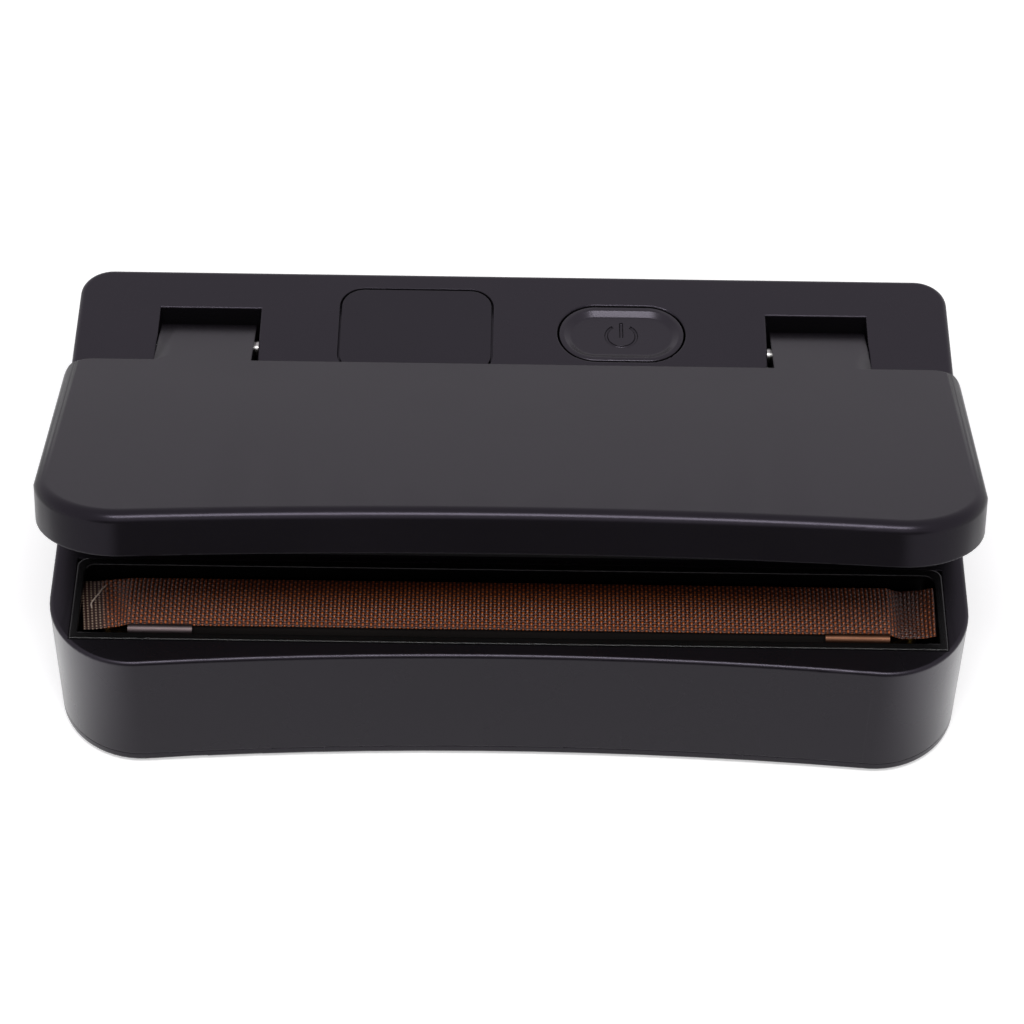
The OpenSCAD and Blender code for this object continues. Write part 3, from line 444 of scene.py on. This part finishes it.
def clothSlope(along, left):
    # slope of the cloth past the end of the bar
    part = clothCover
    past = abs(along) - part["barHalf"]
    dip, lying, curl = part["leftFlap"] if left else part["rightFlap"]
    settled = smooth(past, *part["fallEnd"])
    fall = dip * smooth(past, *part["fallStart"]) * (1 - settled)
    rest = lying * settled * (1 - smooth(past, *part["lyingEnd"]))
    return fall + rest + curl * smooth(past, *part["curlStart"])


def clothPoints():
    # the sheet is laid down by its slopes, so its threads keep their lengths
    part = clothCover
    ripples, waves = part["ripple"], part["wave"]
    nx = part["stepsAlong"]
    du = part["length"] / nx
    rows = []
    for side in (-1, 1):
        x, z, line = 0, 0, [(0, 0, 0)]
        for i in range(nx // 2):
            slope = clothSlope((i + 0.5) * du, side < 0)
            x += math.cos(slope) * du
            z -= math.sin(slope) * du
            line.append(((i + 1) * du, x, z))
        rows.append([(side * u, side * x, z) for u, x, z in line])
    centre = rows[0][:0:-1] + rows[1]
    halves = [(-1, part["ahead"], part["stepsAhead"], part["frontFold"]),
        (1, part["width"] - part["ahead"], part["stepsBehind"], part["rearFold"])]
    points = []
    for u, x, z in centre:
        loose = smooth(abs(u) - part["barHalf"], *part["loosens"])
        cut = loose * (part["endCuts"][0] if u < 0 else -part["endCuts"][1])
        strip = []
        for side, reach, steps, (start, radius, angle, opens) in halves:
            y, drop = 0, 0
            foldTo = math.radians(angle - opens * loose) - part["crownLean"]
            foldEnd = start + part["foldRun"] * radius * angle / 90
            line = [(0, 0, 0)]
            for j in range(steps):
                s = (j + 0.5) * reach / steps
                lean = s / part["crownRadius"] * (1 - loose) + foldTo * smooth(s, start, foldEnd)
                y += math.cos(lean) * reach / steps
                drop += math.sin(lean) * reach / steps
                line.append((side * (j + 1) * reach / steps, side * y, -drop))
            strip = line[:0:-1] if side < 0 else strip + line
        for v, y, dz in strip:
            sway = u / ripples["along"] + ripples["sway"] * math.sin(u / ripples["swayAlong"])
            ripple = ripples["height"] * math.sin(sway) * math.sin(v / ripples["across"] + ripples["shift"])
            wave = loose * waves["height"] * math.sin(v / waves["across"] + u / waves["along"])
            points.append((u, v, Vector((x - cut * v / part["cutOver"], part["barY"] + y,
                part["topZ"] + z + dz + ripple * (1 - ripples["lost"] * loose) + wave))))
    return points, len(centre), len(strip)


def makeCloth():
    points, along, across = clothPoints()
    mesh = bpy.data.meshes.new("wovenBarCover")
    faces = [(i * across + j, (i + 1) * across + j, (i + 1) * across + j + 1, i * across + j + 1)
        for i in range(along - 1) for j in range(across - 1)]
    mesh.from_pydata([p[2] for p in points], [], faces)
    weave = mesh.uv_layers.new(name="weave")
    for loop in mesh.loops:
        u, v, _ = points[loop.vertex_index]
        weave.data[loop.index].uv = (u / mm, v / mm)  # millimetres on the cloth
    made = bpy.data.objects.new("wovenBarCover", mesh)
    scene.collection.objects.link(made)
    for polygon in mesh.polygons:
        polygon.use_smooth = True
    addWall(made, "clothThickness", clothCover["thick"])
    return made


barCover = makeCloth()

# glass threads in a plain weave, soaked in brown resin and fluoropolymer: satin crowns, with painted shade
# in the hollows between them
clothLook = {
    "resin": ("#974419", "#c2692e"),
    "stain": 0.35,  # cycles to a millimetre
    # painted shade: the colour given to the hollows between the threads
    "hollow": "#240b04",
    "warpLow": 0.12,  # the least height of a thread over the bar, where it goes under
    "weftHeight": 0.62,  # threads along the bar lie lower than those
    # the right flap is darker, least at its tip; millimetres along the cloth
    "rightFlapDarker": "#3a1a0d",
    "rightFlapDarkerStart": {"From Min": 74.6, "From Max": 76.4, "To Max": 0.8},
    "rightFlapDarkerTip": {"From Min": 82, "From Max": 79.5, "To Min": 0.4},
    # bare pale glass at the left end, its cross threads lost
    "bareGlass": "#a8917e",
    "frayStart": {"From Min": -78.6, "From Max": -80.6},
    "frayDash": {"From Min": 0.15, "From Max": 0.8, "To Max": 0.92},
    "crown": {"From Min": 0.35, "From Max": 0.9},
    "gloss": {"To Min": 0.6, "To Max": 0.28},  # roughness in the hollows and on the crowns
    "depth": 0.28 * mm,
}
clothMaterial, tree = newMaterial("ptfeCoatedGlassCloth")
place = add(tree, "ShaderNodeUVMap", (0, 0), uv_map="weave").outputs[0]
flat = add(tree, "ShaderNodeSeparateXYZ", (1, 0), {0: place})
warp = add(tree, "ShaderNodeMath", (2, 0), {0: flat.outputs["X"],
    1: math.pi * mm / clothCover["warpPitch"]}, operation="MULTIPLY")
warp = add(tree, "ShaderNodeMath", (3, 0), {0: warp.outputs[0]}, operation="SINE")
weft = add(tree, "ShaderNodeMath", (2, 1), {0: flat.outputs["Y"],
    1: math.pi * mm / clothCover["weftPitch"]}, operation="MULTIPLY")
weft = add(tree, "ShaderNodeMath", (3, 1), {0: weft.outputs[0]}, operation="SINE")
over = add(tree, "ShaderNodeMath", (4, 0), {0: warp.outputs[0], 1: weft.outputs[0]},
    operation="MULTIPLY")
warpUp = add(tree, "ShaderNodeMapRange", (5, 0), {"Value": over.outputs[0], "From Min": -1,
    "To Min": clothLook["warpLow"]})
weftUp = add(tree, "ShaderNodeMapRange", (5, 1), {"Value": over.outputs[0], "From Min": 1,
    "From Max": -1})
warpRound = add(tree, "ShaderNodeMath", (4, 2), {0: warp.outputs[0]}, operation="ABSOLUTE")
weftRound = add(tree, "ShaderNodeMath", (4, 3), {0: weft.outputs[0]}, operation="ABSOLUTE")
warpThread = add(tree, "ShaderNodeMath", (6, 0), {0: warpUp.outputs[0], 1: warpRound.outputs[0]},
    operation="MULTIPLY")
weftThread = add(tree, "ShaderNodeMath", (6, 1), {0: weftUp.outputs[0], 1: weftRound.outputs[0]},
    operation="MULTIPLY")
weftThread = add(tree, "ShaderNodeMath", (7, 1), {0: weftThread.outputs[0],
    1: clothLook["weftHeight"]}, operation="MULTIPLY")
height = add(tree, "ShaderNodeMath", (8, 0), {0: warpThread.outputs[0], 1: weftThread.outputs[0]},
    operation="MAXIMUM")
stain = add(tree, "ShaderNodeTexNoise", (5, 3), {"Vector": place, "Scale": clothLook["stain"],
    "Detail": 3})
resin = add(tree, "ShaderNodeMix", (6, 3), {"Factor": stain.outputs["Fac"],
    "A": toLinear(clothLook["resin"][0]), "B": toLinear(clothLook["resin"][1])}, data_type="RGBA")
# a darker colour over the right flap, less of it at the tip
rightFlapDarker = add(tree, "ShaderNodeMapRange", (7, 6), {"Value": flat.outputs["X"],
    **clothLook["rightFlapDarkerStart"]}, **smoothly)
tip = add(tree, "ShaderNodeMapRange", (7, 7), {"Value": flat.outputs["X"], **clothLook["rightFlapDarkerTip"]},
    **smoothly)
rightFlapDarker = add(tree, "ShaderNodeMath", (8, 6), {0: rightFlapDarker.outputs[0], 1: tip.outputs[0]},
    operation="MULTIPLY")
resin = add(tree, "ShaderNodeMix", (7, 5), {"Factor": rightFlapDarker.outputs[0],
    "A": resin.outputs["Result"], "B": toLinear(clothLook["rightFlapDarker"])}, data_type="RGBA")
frayed = add(tree, "ShaderNodeMapRange", (7, 3), {"Value": flat.outputs["X"],
    **clothLook["frayStart"]}, **smoothly)
resin = add(tree, "ShaderNodeMix", (8, 3), {"Factor": frayed.outputs[0], "A": resin.outputs["Result"],
    "B": toLinear(clothLook["bareGlass"])}, data_type="RGBA")
dash = add(tree, "ShaderNodeMapRange", (7, 4), {"Value": weftRound.outputs[0],
    **clothLook["frayDash"]})
for row in (4, 5):
    dash = add(tree, "ShaderNodeMath", (8, row), {0: dash.outputs[0], 1: warpRound.outputs[0]},
        operation="MULTIPLY")
shown = add(tree, "ShaderNodeMix", (9, 4), {"Factor": frayed.outputs[0], "A": height.outputs[0],
    "B": dash.outputs[0]}, data_type="FLOAT")
crown = add(tree, "ShaderNodeMapRange", (9, 1), {"Value": shown.outputs[0], **clothLook["crown"]})
# painted shade: the colour runs from the hollows' shade to the resin on the crowns, by thread height
tone = add(tree, "ShaderNodeMix", (10, 1), {"Factor": crown.outputs[0],
    "A": toLinear(clothLook["hollow"]), "B": resin.outputs["Result"]}, data_type="RGBA")
rough = add(tree, "ShaderNodeMapRange", (10, 2), {"Value": shown.outputs[0], **clothLook["gloss"]})
bump = add(tree, "ShaderNodeBump", (10, 3), {"Height": shown.outputs[0], "Strength": 1,
    "Distance": clothLook["depth"]})
shader = add(tree, "ShaderNodeBsdfPrincipled", (11, 1), {"Base Color": tone.outputs["Result"],
    "Roughness": rough.outputs[0], "IOR": 1.35, "Coat Weight": 0.3, "Coat Roughness": 0.24,
    "Coat IOR": 1.45, "Normal": bump.outputs[0], "Coat Normal": bump.outputs[0]})
add(tree, "ShaderNodeOutputMaterial", (12, 1), {"Surface": shader.outputs[0]})
barCover.data.materials.append(clothMaterial)
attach(barCover, "base")
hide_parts("ptfe_cover")

looseThread = {
    # a warp thread that has come out of the left end, in millimetres
    "path": [(-81.6, -33.4, 30.45), (-81.9, -33.0, 30.85), (-81.7, -32.5, 31.15),
        (-81.3, -31.8, 31.2), (-80.9, -31.1, 31.3), (-80.5, -30.6, 31.35), (-80.2, -29.9, 31.4),
        (-79.9, -29.2, 31.3), (-79.5, -28.6, 31.2), (-79.3, -28.0, 30.95), (-79.35, -27.6, 30.6)],
    "radius": 0.14 * mm,
    "colours": ("#6e5a4c", "#dccbbb"),
    "twist": 0.35 * mm,
    "depth": 0.05 * mm,
}


def makeLooseThread():
    data = bpy.data.curves.new("looseThread", "CURVE")
    data.dimensions = "3D"
    data.bevel_depth = looseThread["radius"]
    data.bevel_resolution = 2
    data.use_fill_caps = True
    data.resolution_u = 6
    line = data.splines.new("NURBS")
    line.points.add(len(looseThread["path"]) - 1)
    for point, place in zip(line.points, looseThread["path"]):
        point.co = (*(c * mm for c in place), 1)
    line.use_endpoint_u = True
    line.order_u = 3
    made = bpy.data.objects.new("looseThread", data)
    scene.collection.objects.link(made)
    takeOver(made)
    bpy.ops.object.convert(target="MESH")
    bpy.ops.object.shade_smooth()
    return bpy.context.object


thread = makeLooseThread()
# bare glass yarn: pale, with the twist's fine bands of shadow
glassYarn, tree = newMaterial("twistedGlassYarn")
place = add(tree, "ShaderNodeTexCoord", (0, 0)).outputs["Object"]
twist = add(tree, "ShaderNodeTexNoise", (1, 0), {"Vector": place, "Scale": 1 / looseThread["twist"],
    "Detail": 1})
tone = add(tree, "ShaderNodeMix", (2, 0), {"Factor": twist.outputs["Fac"],
    "A": toLinear(looseThread["colours"][0]), "B": toLinear(looseThread["colours"][1])},
    data_type="RGBA")
bump = add(tree, "ShaderNodeBump", (2, 1), {"Height": twist.outputs["Fac"], "Strength": 0.6,
    "Distance": looseThread["depth"]})
shader = add(tree, "ShaderNodeBsdfPrincipled", (3, 0), {"Base Color": tone.outputs["Result"],
    "Roughness": 0.4, "Normal": bump.outputs[0]})
add(tree, "ShaderNodeOutputMaterial", (4, 0), {"Surface": shader.outputs[0]})
thread.data.materials.append(glassYarn)
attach(thread, "base")
print("bar cover made")

# housing and lid keep their CAD meshes, with exact normals on the long roundings; in millimetres
polish = {
    "slices": 60,  # cuts from side to side, so that the hollow front reads as one curve
    "share": 0.1,  # how far neighbouring stretches of the outline share points
    "arcShare": 0.02,
    "reach": 0.09,  # a point further from the true surface than this keeps its own normal
    "slack": 0.03,
    "facing": 0.8,  # cosine between a face and the normal that it may take
    # the solid has a hairline step in its front; where it is, and what counts as a point of it
    "stepBefore": 1,
    "stepAside": 0.02,
    "stepBehind": 4,
    "stepBelow": 12,
    "stepInside": 0.05,
    "stepNear": 0.01,
}


def frontHollow(plan):
    # radius and centre of the hollow front's circle, and how far out it runs into the corner's arc
    flat = plan["halfWidth"] - plan["frontRadius"]
    radius = flat ** 2 / (2 * plan["sag"]) + plan["sag"] / 2 - plan["frontRadius"]
    return radius, plan["front"] + plan["sag"] - radius, flat * radius / (radius + plan["frontRadius"])


def roundedNormals(points, faces, normals, plan, top):
    x, y, z = points.T
    out, side = np.abs(x), np.sign(x)
    w, rear, front, rr, rf = (plan[name] for name in ("halfWidth", "rear", "front", "rearRadius",
        "frontRadius"))
    hollow, centreY, meet = frontHollow(plan)
    reach = np.hypot(x, y - centreY)
    rearArc = np.hypot(out - w + rr, y - rear + rr)
    frontArc = np.hypot(out - w + rf, y - front - rf)
    # each stretch of the outline: its points, their depth outside it, its direction and its rounding
    stretches = [
        ((y > front + rf - polish["share"]) & (y < rear), out - w, side, 0 * x, plan["sideEdge"]),
        (out < w - rr + polish["share"], y - rear, 0 * x, 0 * x + 1, plan["rearEdge"]),
        ((out > w - rr) & (y > rear - rr), rearArc - rr, side * (out - w + rr) / rearArc,
            (y - rear + rr) / rearArc, plan["rearEdge"]),
        ((out > meet - polish["arcShare"]) & (y < front + rf), frontArc - rf,
            side * (out - w + rf) / frontArc, (y - front - rf) / frontArc, plan["frontEdge"]),
        (out < meet + polish["arcShare"], hollow - reach, -x / reach, -(y - centreY) / reach,
            plan["frontEdge"]),
    ]
    closest = np.full(len(x), polish["reach"])
    result = normals.copy()
    slack = polish["slack"]
    for where, depth, goX, goY, edge in stretches:
        if edge == 0:
            continue
        u, v = depth + edge, z - top + edge
        length = np.maximum(np.hypot(u, v), 1e-6)
        rounding = (goX * u / length, goY * u / length, v / length)
        for fits, miss, parts in (
            ((u > -slack) & (v > -slack), np.abs(length - edge), rounding),
            (v < slack, np.abs(depth), (goX, goY, 0 * x)),
        ):
            guess = np.stack(parts, 1)
            good = where & fits & (miss < closest) & ((guess * faces).sum(1) > polish["facing"])
            result[good] = guess[good]
            closest[good] = miss[good]
    return result


def closeStep(mesh, plan, top, level, about):
    # the points of the corner's arc that lie inside the meeting point go out onto the hollow
    w, front, rf, edge = (plan[name] for name in ("halfWidth", "front", "frontRadius", "frontEdge"))
    hollow, centreY, meet = frontHollow(plan)
    stepX = meet - polish["stepBefore"]
    onHollow = centreY + math.sqrt(hollow ** 2 - stepX ** 2)
    onArc = front + rf - math.sqrt(rf ** 2 - (w - rf - stepX) ** 2)
    outward = level.T @ np.array((0, onHollow - onArc, 0)) * mm
    moved = 0
    for vertex in mesh.vertices:
        x, y, z = level @ (np.array(vertex.co) / mm - (0, *about))
        if (abs(abs(x) - stepX) > polish["stepAside"] or y > front + polish["stepBehind"]
                or z < top - polish["stepBelow"]):
            continue
        misses = []
        for depth in (hollow - math.hypot(x, y - centreY), math.hypot(abs(x) - w + rf, y - front - rf) - rf):
            inward = depth + edge
            upward = max(z - top + edge, 0)
            rounded = inward > -polish["stepInside"] and upward > 0
            misses.append(abs(math.hypot(inward, upward) - edge) if rounded else abs(depth))
        if misses[1] < misses[0] and misses[1] < polish["stepNear"]:
            vertex.co = Vector((np.array(vertex.co) + outward).tolist())
            moved += 1
    print(mesh.name, "step closed at", moved, "points, by", round(onHollow - onArc, 4), "mm")


def polishedCopy(name, newName, material, shapes, turn=0, about=(0, 0)):
    # shapes: outlines with the height of their top, as they are before a turn about the hinge
    made = copyNode(name, newName)
    mesh = made.data
    kept = mesh.attributes.new("cadNormal", "FLOAT_VECTOR", "CORNER")
    kept.data.foreach_set("vector", [c for n in mesh.corner_normals for c in n.vector])
    mergePoints()
    lean = math.radians(turn)
    level = np.array(((1, 0, 0), (0, math.cos(lean), -math.sin(lean)), (0, math.sin(lean), math.cos(lean))))
    closeStep(mesh, *shapes[-1], level, about)
    bpy.ops.object.mode_set(mode="EDIT")
    halfSpan = shapes[0][0]["halfWidth"] * mm
    for i in range(1, polish["slices"]):
        bpy.ops.mesh.select_all(action="SELECT")
        bpy.ops.mesh.bisect(plane_co=((2 * i / polish["slices"] - 1) * halfSpan, 0, 0),
            plane_no=(1, 0, 0))
    bpy.ops.object.mode_set(mode="OBJECT")
    count = len(mesh.loops)
    places = np.zeros(len(mesh.vertices) * 3)
    mesh.vertices.foreach_get("co", places)
    corners = np.zeros(count, dtype=int)
    mesh.loops.foreach_get("vertex_index", corners)
    normals = np.zeros(count * 3)
    mesh.attributes["cadNormal"].data.foreach_get("vector", normals)
    normals = normals.reshape(-1, 3) @ level.T
    faces = np.repeat([list(p.normal) for p in mesh.polygons], [p.loop_total for p in mesh.polygons],
        axis=0) @ level.T
    points = (places.reshape(-1, 3)[corners] / mm - (0, *about)) @ level.T
    for plan, top in shapes:
        normals = roundedNormals(points, faces, normals, plan, top)
    normals = normals @ level
    normals /= np.maximum(np.linalg.norm(normals, axis=1), 1e-6)[:, None]
    mesh.attributes.remove(mesh.attributes["cadNormal"])
    for polygon in mesh.polygons:
        polygon.use_smooth = True
    mesh.normals_split_custom_set(normals.tolist())
    mesh.materials.clear()
    mesh.materials.append(material)
    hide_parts(name)
    return made


# the outlines' measures in millimetres, with the rounding of each of their edges
bodyPlan = {"halfWidth": 90, "rear": 48.35, "front": -48.35, "sag": 3.1, "frontRadius": 17,
    "rearRadius": 6.5, "sideEdge": 1.2, "rearEdge": 1.2, "frontEdge": 0}
rimPlan = dict(bodyPlan, sideEdge=0.8, rearEdge=0, frontEdge=0.8)
lidPlan = {"halfWidth": 90.6, "rear": -12.05, "front": -77.95, "sag": 3, "frontRadius": 17,
    "rearRadius": 6, "sideEdge": 3, "rearEdge": 0.9, "frontEdge": 2.2}
housing = polishedCopy("main_housing", "mouldedHousing", housingAbs, [(bodyPlan, 42.5), (rimPlan, 31.8)])
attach(housing, "base")
lid = polishedCopy("lid_shell", "mouldedLid", lidAbs, [(lidPlan, 3.5)], turn=20.2, about=(29.6, 38.7))
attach(lid, "lid")
print("shells polished")

# how the bar's front edge falls away under the cloth
barEdge = {
    "start": -37.2 * mm,
    "run": 2.1 * mm,
    "drop": 6.5 * mm,
    "power": 1.6,
    "above": 31 * mm,  # what lies lower stays
    "smoothAngle": 30,
}
bar = copyNode("heater_bar", "easedBar")
mergePoints()
for vertex in bar.data.vertices:
    if vertex.co.z > barEdge["above"]:
        past = max(barEdge["start"] - vertex.co.y, 0) / barEdge["run"]
        vertex.co.z -= barEdge["drop"] * past ** barEdge["power"]
bpy.ops.object.shade_smooth_by_angle(angle=math.radians(barEdge["smoothAngle"]))
bar.data.materials.clear()
bar.data.materials.append(barPlastic)
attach(bar, "base")
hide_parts("heater_bar")

clothStrip = {
    # front and height, in millimetres, from the tip on the cloth down the bar's front
    "section": [(-38.1, 31.56), (-38.5, 31.68), (-38.95, 31.6), (-39.35, 31.36), (-39.65, 30.95),
        (-39.82, 30.4), (-39.86, 29.6), (-39.86, 24)],
    "from": 61.6,
    "long": 12.5,
    "thick": 0.22 * mm,
    "smoothAngle": 40,
}


def makeStrip(side):
    part = clothStrip
    nothingSelected()
    bpy.ops.mesh.primitive_plane_add(size=1, location=(0, 0, 0))
    made = bpy.context.object
    made.name = "clothStrip" + ("Left" if side < 0 else "Right")
    # one edge of the plane stays, goes to the tip and is drawn along the section
    bpy.ops.object.mode_set(mode="EDIT")
    bpy.context.tool_settings.mesh_select_mode = (True, False, False)
    bpy.ops.mesh.select_all(action="DESELECT")
    bpy.ops.object.mode_set(mode="OBJECT")
    for vertex in made.data.vertices:
        vertex.select = vertex.co.y < 0
    bpy.ops.object.mode_set(mode="EDIT")
    bpy.ops.mesh.delete(type="VERT")
    bpy.ops.mesh.select_all(action="SELECT")
    bpy.ops.object.mode_set(mode="OBJECT")
    y, z = part["section"][0]
    for vertex in made.data.vertices:
        x = side * (part["from"] + part["long"] * (vertex.co.x > 0))
        vertex.co = (x * mm, y * mm, z * mm)
    bpy.ops.object.mode_set(mode="EDIT")
    for (y0, z0), (y1, z1) in zip(part["section"], part["section"][1:]):
        bpy.ops.mesh.extrude_region_move(
            TRANSFORM_OT_translate={"value": (0, (y1 - y0) * mm, (z1 - z0) * mm)})
    bpy.ops.mesh.select_all(action="SELECT")
    bpy.ops.mesh.normals_make_consistent(inside=False)
    bpy.ops.object.mode_set(mode="OBJECT")
    bpy.ops.object.shade_smooth()
    addWall(made, "sheetMetal", part["thick"])
    bpy.ops.object.shade_smooth_by_angle(angle=math.radians(part["smoothAngle"]))
    return made


strips = [makeStrip(-1), makeStrip(1)]
for strip, metal in zip(strips, (rolledSteel, copperedSteel)):
    strip.data.materials.append(metal)
    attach(strip, "base")
    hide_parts("cloth_clamps")
print("bar and strips made")

button = {
    "centre": (22.3 * mm, 31.7 * mm),
    "length": 25.7 * mm,
    "depth": 15.4 * mm,
    "wallTop": 42.15 * mm,
    "wallFoot": 39.3 * mm,
    # width and rise of each step from the wall in to the floor of the dish, in millimetres
    "steps": [(0.06, 0.12), (0.1, 0.1), (0.14, 0.05), (0.62, 0), (0.08, -0.01), (0.14, -0.05),
        (1.1, -0.68), (0.2, -0.07), (0.25, -0.03)],
    "sides": 96,
    "smoothAngle": 38,
    # the mark: a ring with a gap at the rear, and a bar that stands in the gap
    "ringRadius": 3.1 * mm,
    "groove": 0.36 * mm,
    "gapAngle": 36,
    "markY": 0.1 * mm,
    "barStart": -0.2 * mm,
    "barPastRing": 0.35 * mm,
    "barWider": 1.15,
}


def makeButton():
    part = button
    cx, cy = part["centre"]
    halfFlat = (part["length"] - part["depth"]) / 2
    middle = 0.01 * mm
    nothingSelected()
    bpy.ops.mesh.primitive_circle_add(vertices=part["sides"], radius=part["depth"] / 2,
        fill_type="NGON", location=(0, 0, part["wallFoot"]))
    made = bpy.context.object
    made.name = "powerButtonCap"
    bpy.ops.object.transform_apply(location=True)
    for vertex in made.data.vertices:
        vertex.co.x += halfFlat if vertex.co.x > middle else -halfFlat if vertex.co.x < -middle else 0
    bpy.ops.object.mode_set(mode="EDIT")
    bpy.ops.mesh.select_all(action="SELECT")
    bpy.ops.mesh.extrude_region_move(
        TRANSFORM_OT_translate={"value": (0, 0, part["wallTop"] - part["wallFoot"])})
    for width, rise in part["steps"]:
        bpy.ops.mesh.inset(thickness=width * mm, depth=rise * mm, use_even_offset=False)
    bpy.ops.mesh.select_all(action="SELECT")
    bpy.ops.mesh.normals_make_consistent(inside=False)
    bpy.ops.object.mode_set(mode="OBJECT")
    floorZ = part["wallTop"] + sum(rise for _, rise in part["steps"]) * mm
    for cutter in makeMark(floorZ):
        cut = made.modifiers.new("mark", "BOOLEAN")
        cut.operation = "DIFFERENCE"
        cut.solver = "EXACT"
        cut.object = cutter
        takeOver(made)
        bpy.ops.object.modifier_apply(modifier=cut.name)
        bpy.data.objects.remove(cutter)
    takeOver(made)
    made.location = (cx, cy, 0)
    bpy.ops.object.transform_apply(location=True)
    bpy.ops.object.shade_smooth_by_angle(angle=math.radians(part["smoothAngle"]))
    flatten = made.modifiers.new("evenShading", "WEIGHTED_NORMAL")
    flatten.keep_sharp = True
    bpy.ops.object.modifier_apply(modifier=flatten.name)
    return made


def makeMark(floorZ):
    # two cutters for a round groove
    part = button
    bpy.ops.mesh.primitive_torus_add(major_segments=72, minor_segments=12,
        major_radius=part["ringRadius"], minor_radius=part["groove"], location=(0, part["markY"], floorZ))
    ring = bpy.context.object
    bpy.ops.object.transform_apply(location=True)
    gap = math.radians(part["gapAngle"])
    picked = [abs(math.atan2(polygon.center.x, polygon.center.y - part["markY"])) < gap
        for polygon in ring.data.polygons]
    bpy.ops.object.mode_set(mode="EDIT")
    bpy.context.tool_settings.mesh_select_mode = (False, False, True)
    bpy.ops.mesh.select_all(action="DESELECT")
    bpy.ops.object.mode_set(mode="OBJECT")
    ring.data.polygons.foreach_set("select", picked)
    bpy.ops.object.mode_set(mode="EDIT")
    bpy.ops.mesh.delete(type="FACE")
    bpy.context.tool_settings.mesh_select_mode = (True, False, False)
    bpy.ops.mesh.select_all(action="SELECT")
    bpy.ops.mesh.fill_holes(sides=0)
    bpy.ops.mesh.normals_make_consistent(inside=False)
    bpy.ops.object.mode_set(mode="OBJECT")
    # the bar is a ball whose rear half is drawn back
    bpy.ops.mesh.primitive_uv_sphere_add(segments=16, ring_count=12,
        radius=part["groove"] * part["barWider"], location=(0, 0, 0))
    bar = bpy.context.object
    low = part["markY"] + part["barStart"]
    high = part["markY"] + part["ringRadius"] + part["barPastRing"]
    for vertex in bar.data.vertices:
        vertex.co.y += high if vertex.co.y > 0 else low
        vertex.co.z += floorZ
    return [ring, bar]


buttonCap = makeButton()
buttonCap.data.materials.append(buttonAbs)
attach(buttonCap, "button")
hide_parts("power_button")
print("button made")

# every CAD node's material, also of those that a piece above stands for
dress(housingAbs, "base_cover", "vacuum_trough", "battery_cradle", "button_switch", "main_housing")
dress(lidAbs, "lid_liner", "lid_shell")
dress(buttonAbs, "power_button")
dress(trayNylon, "heater_tray")
dress(barPlastic, "heater_bar")
dress(blackRubber, "rubber_feet", "deck_seal", "lid_seal", "pump_cradle")
dress(redSilicone, "pressure_pad")
dress(milkySilicone, "vacuum_hose")
dress(paleAcetal, "suction_nozzle", "pump_head")
dress(cellWrap, "battery_cells")
dress(blackEpoxy, "digit_module")
dress(solderMask, "display_board", "control_board", "charge_board")
dress(windowAcrylic, "display_window")
dress(satinSteel, "base_screws", "pump_motor", "charge_socket", "hinge_pins", "lid_screws")
dress(nichrome, "heating_band")
dress(springBrass, "band_clip_left", "band_clip_right")
dress(rolledSteel, "cloth_clamps")
dress(clothMaterial, "ptfe_cover")
print("nodes dressed")

scene.view_settings.view_transform = "Standard"
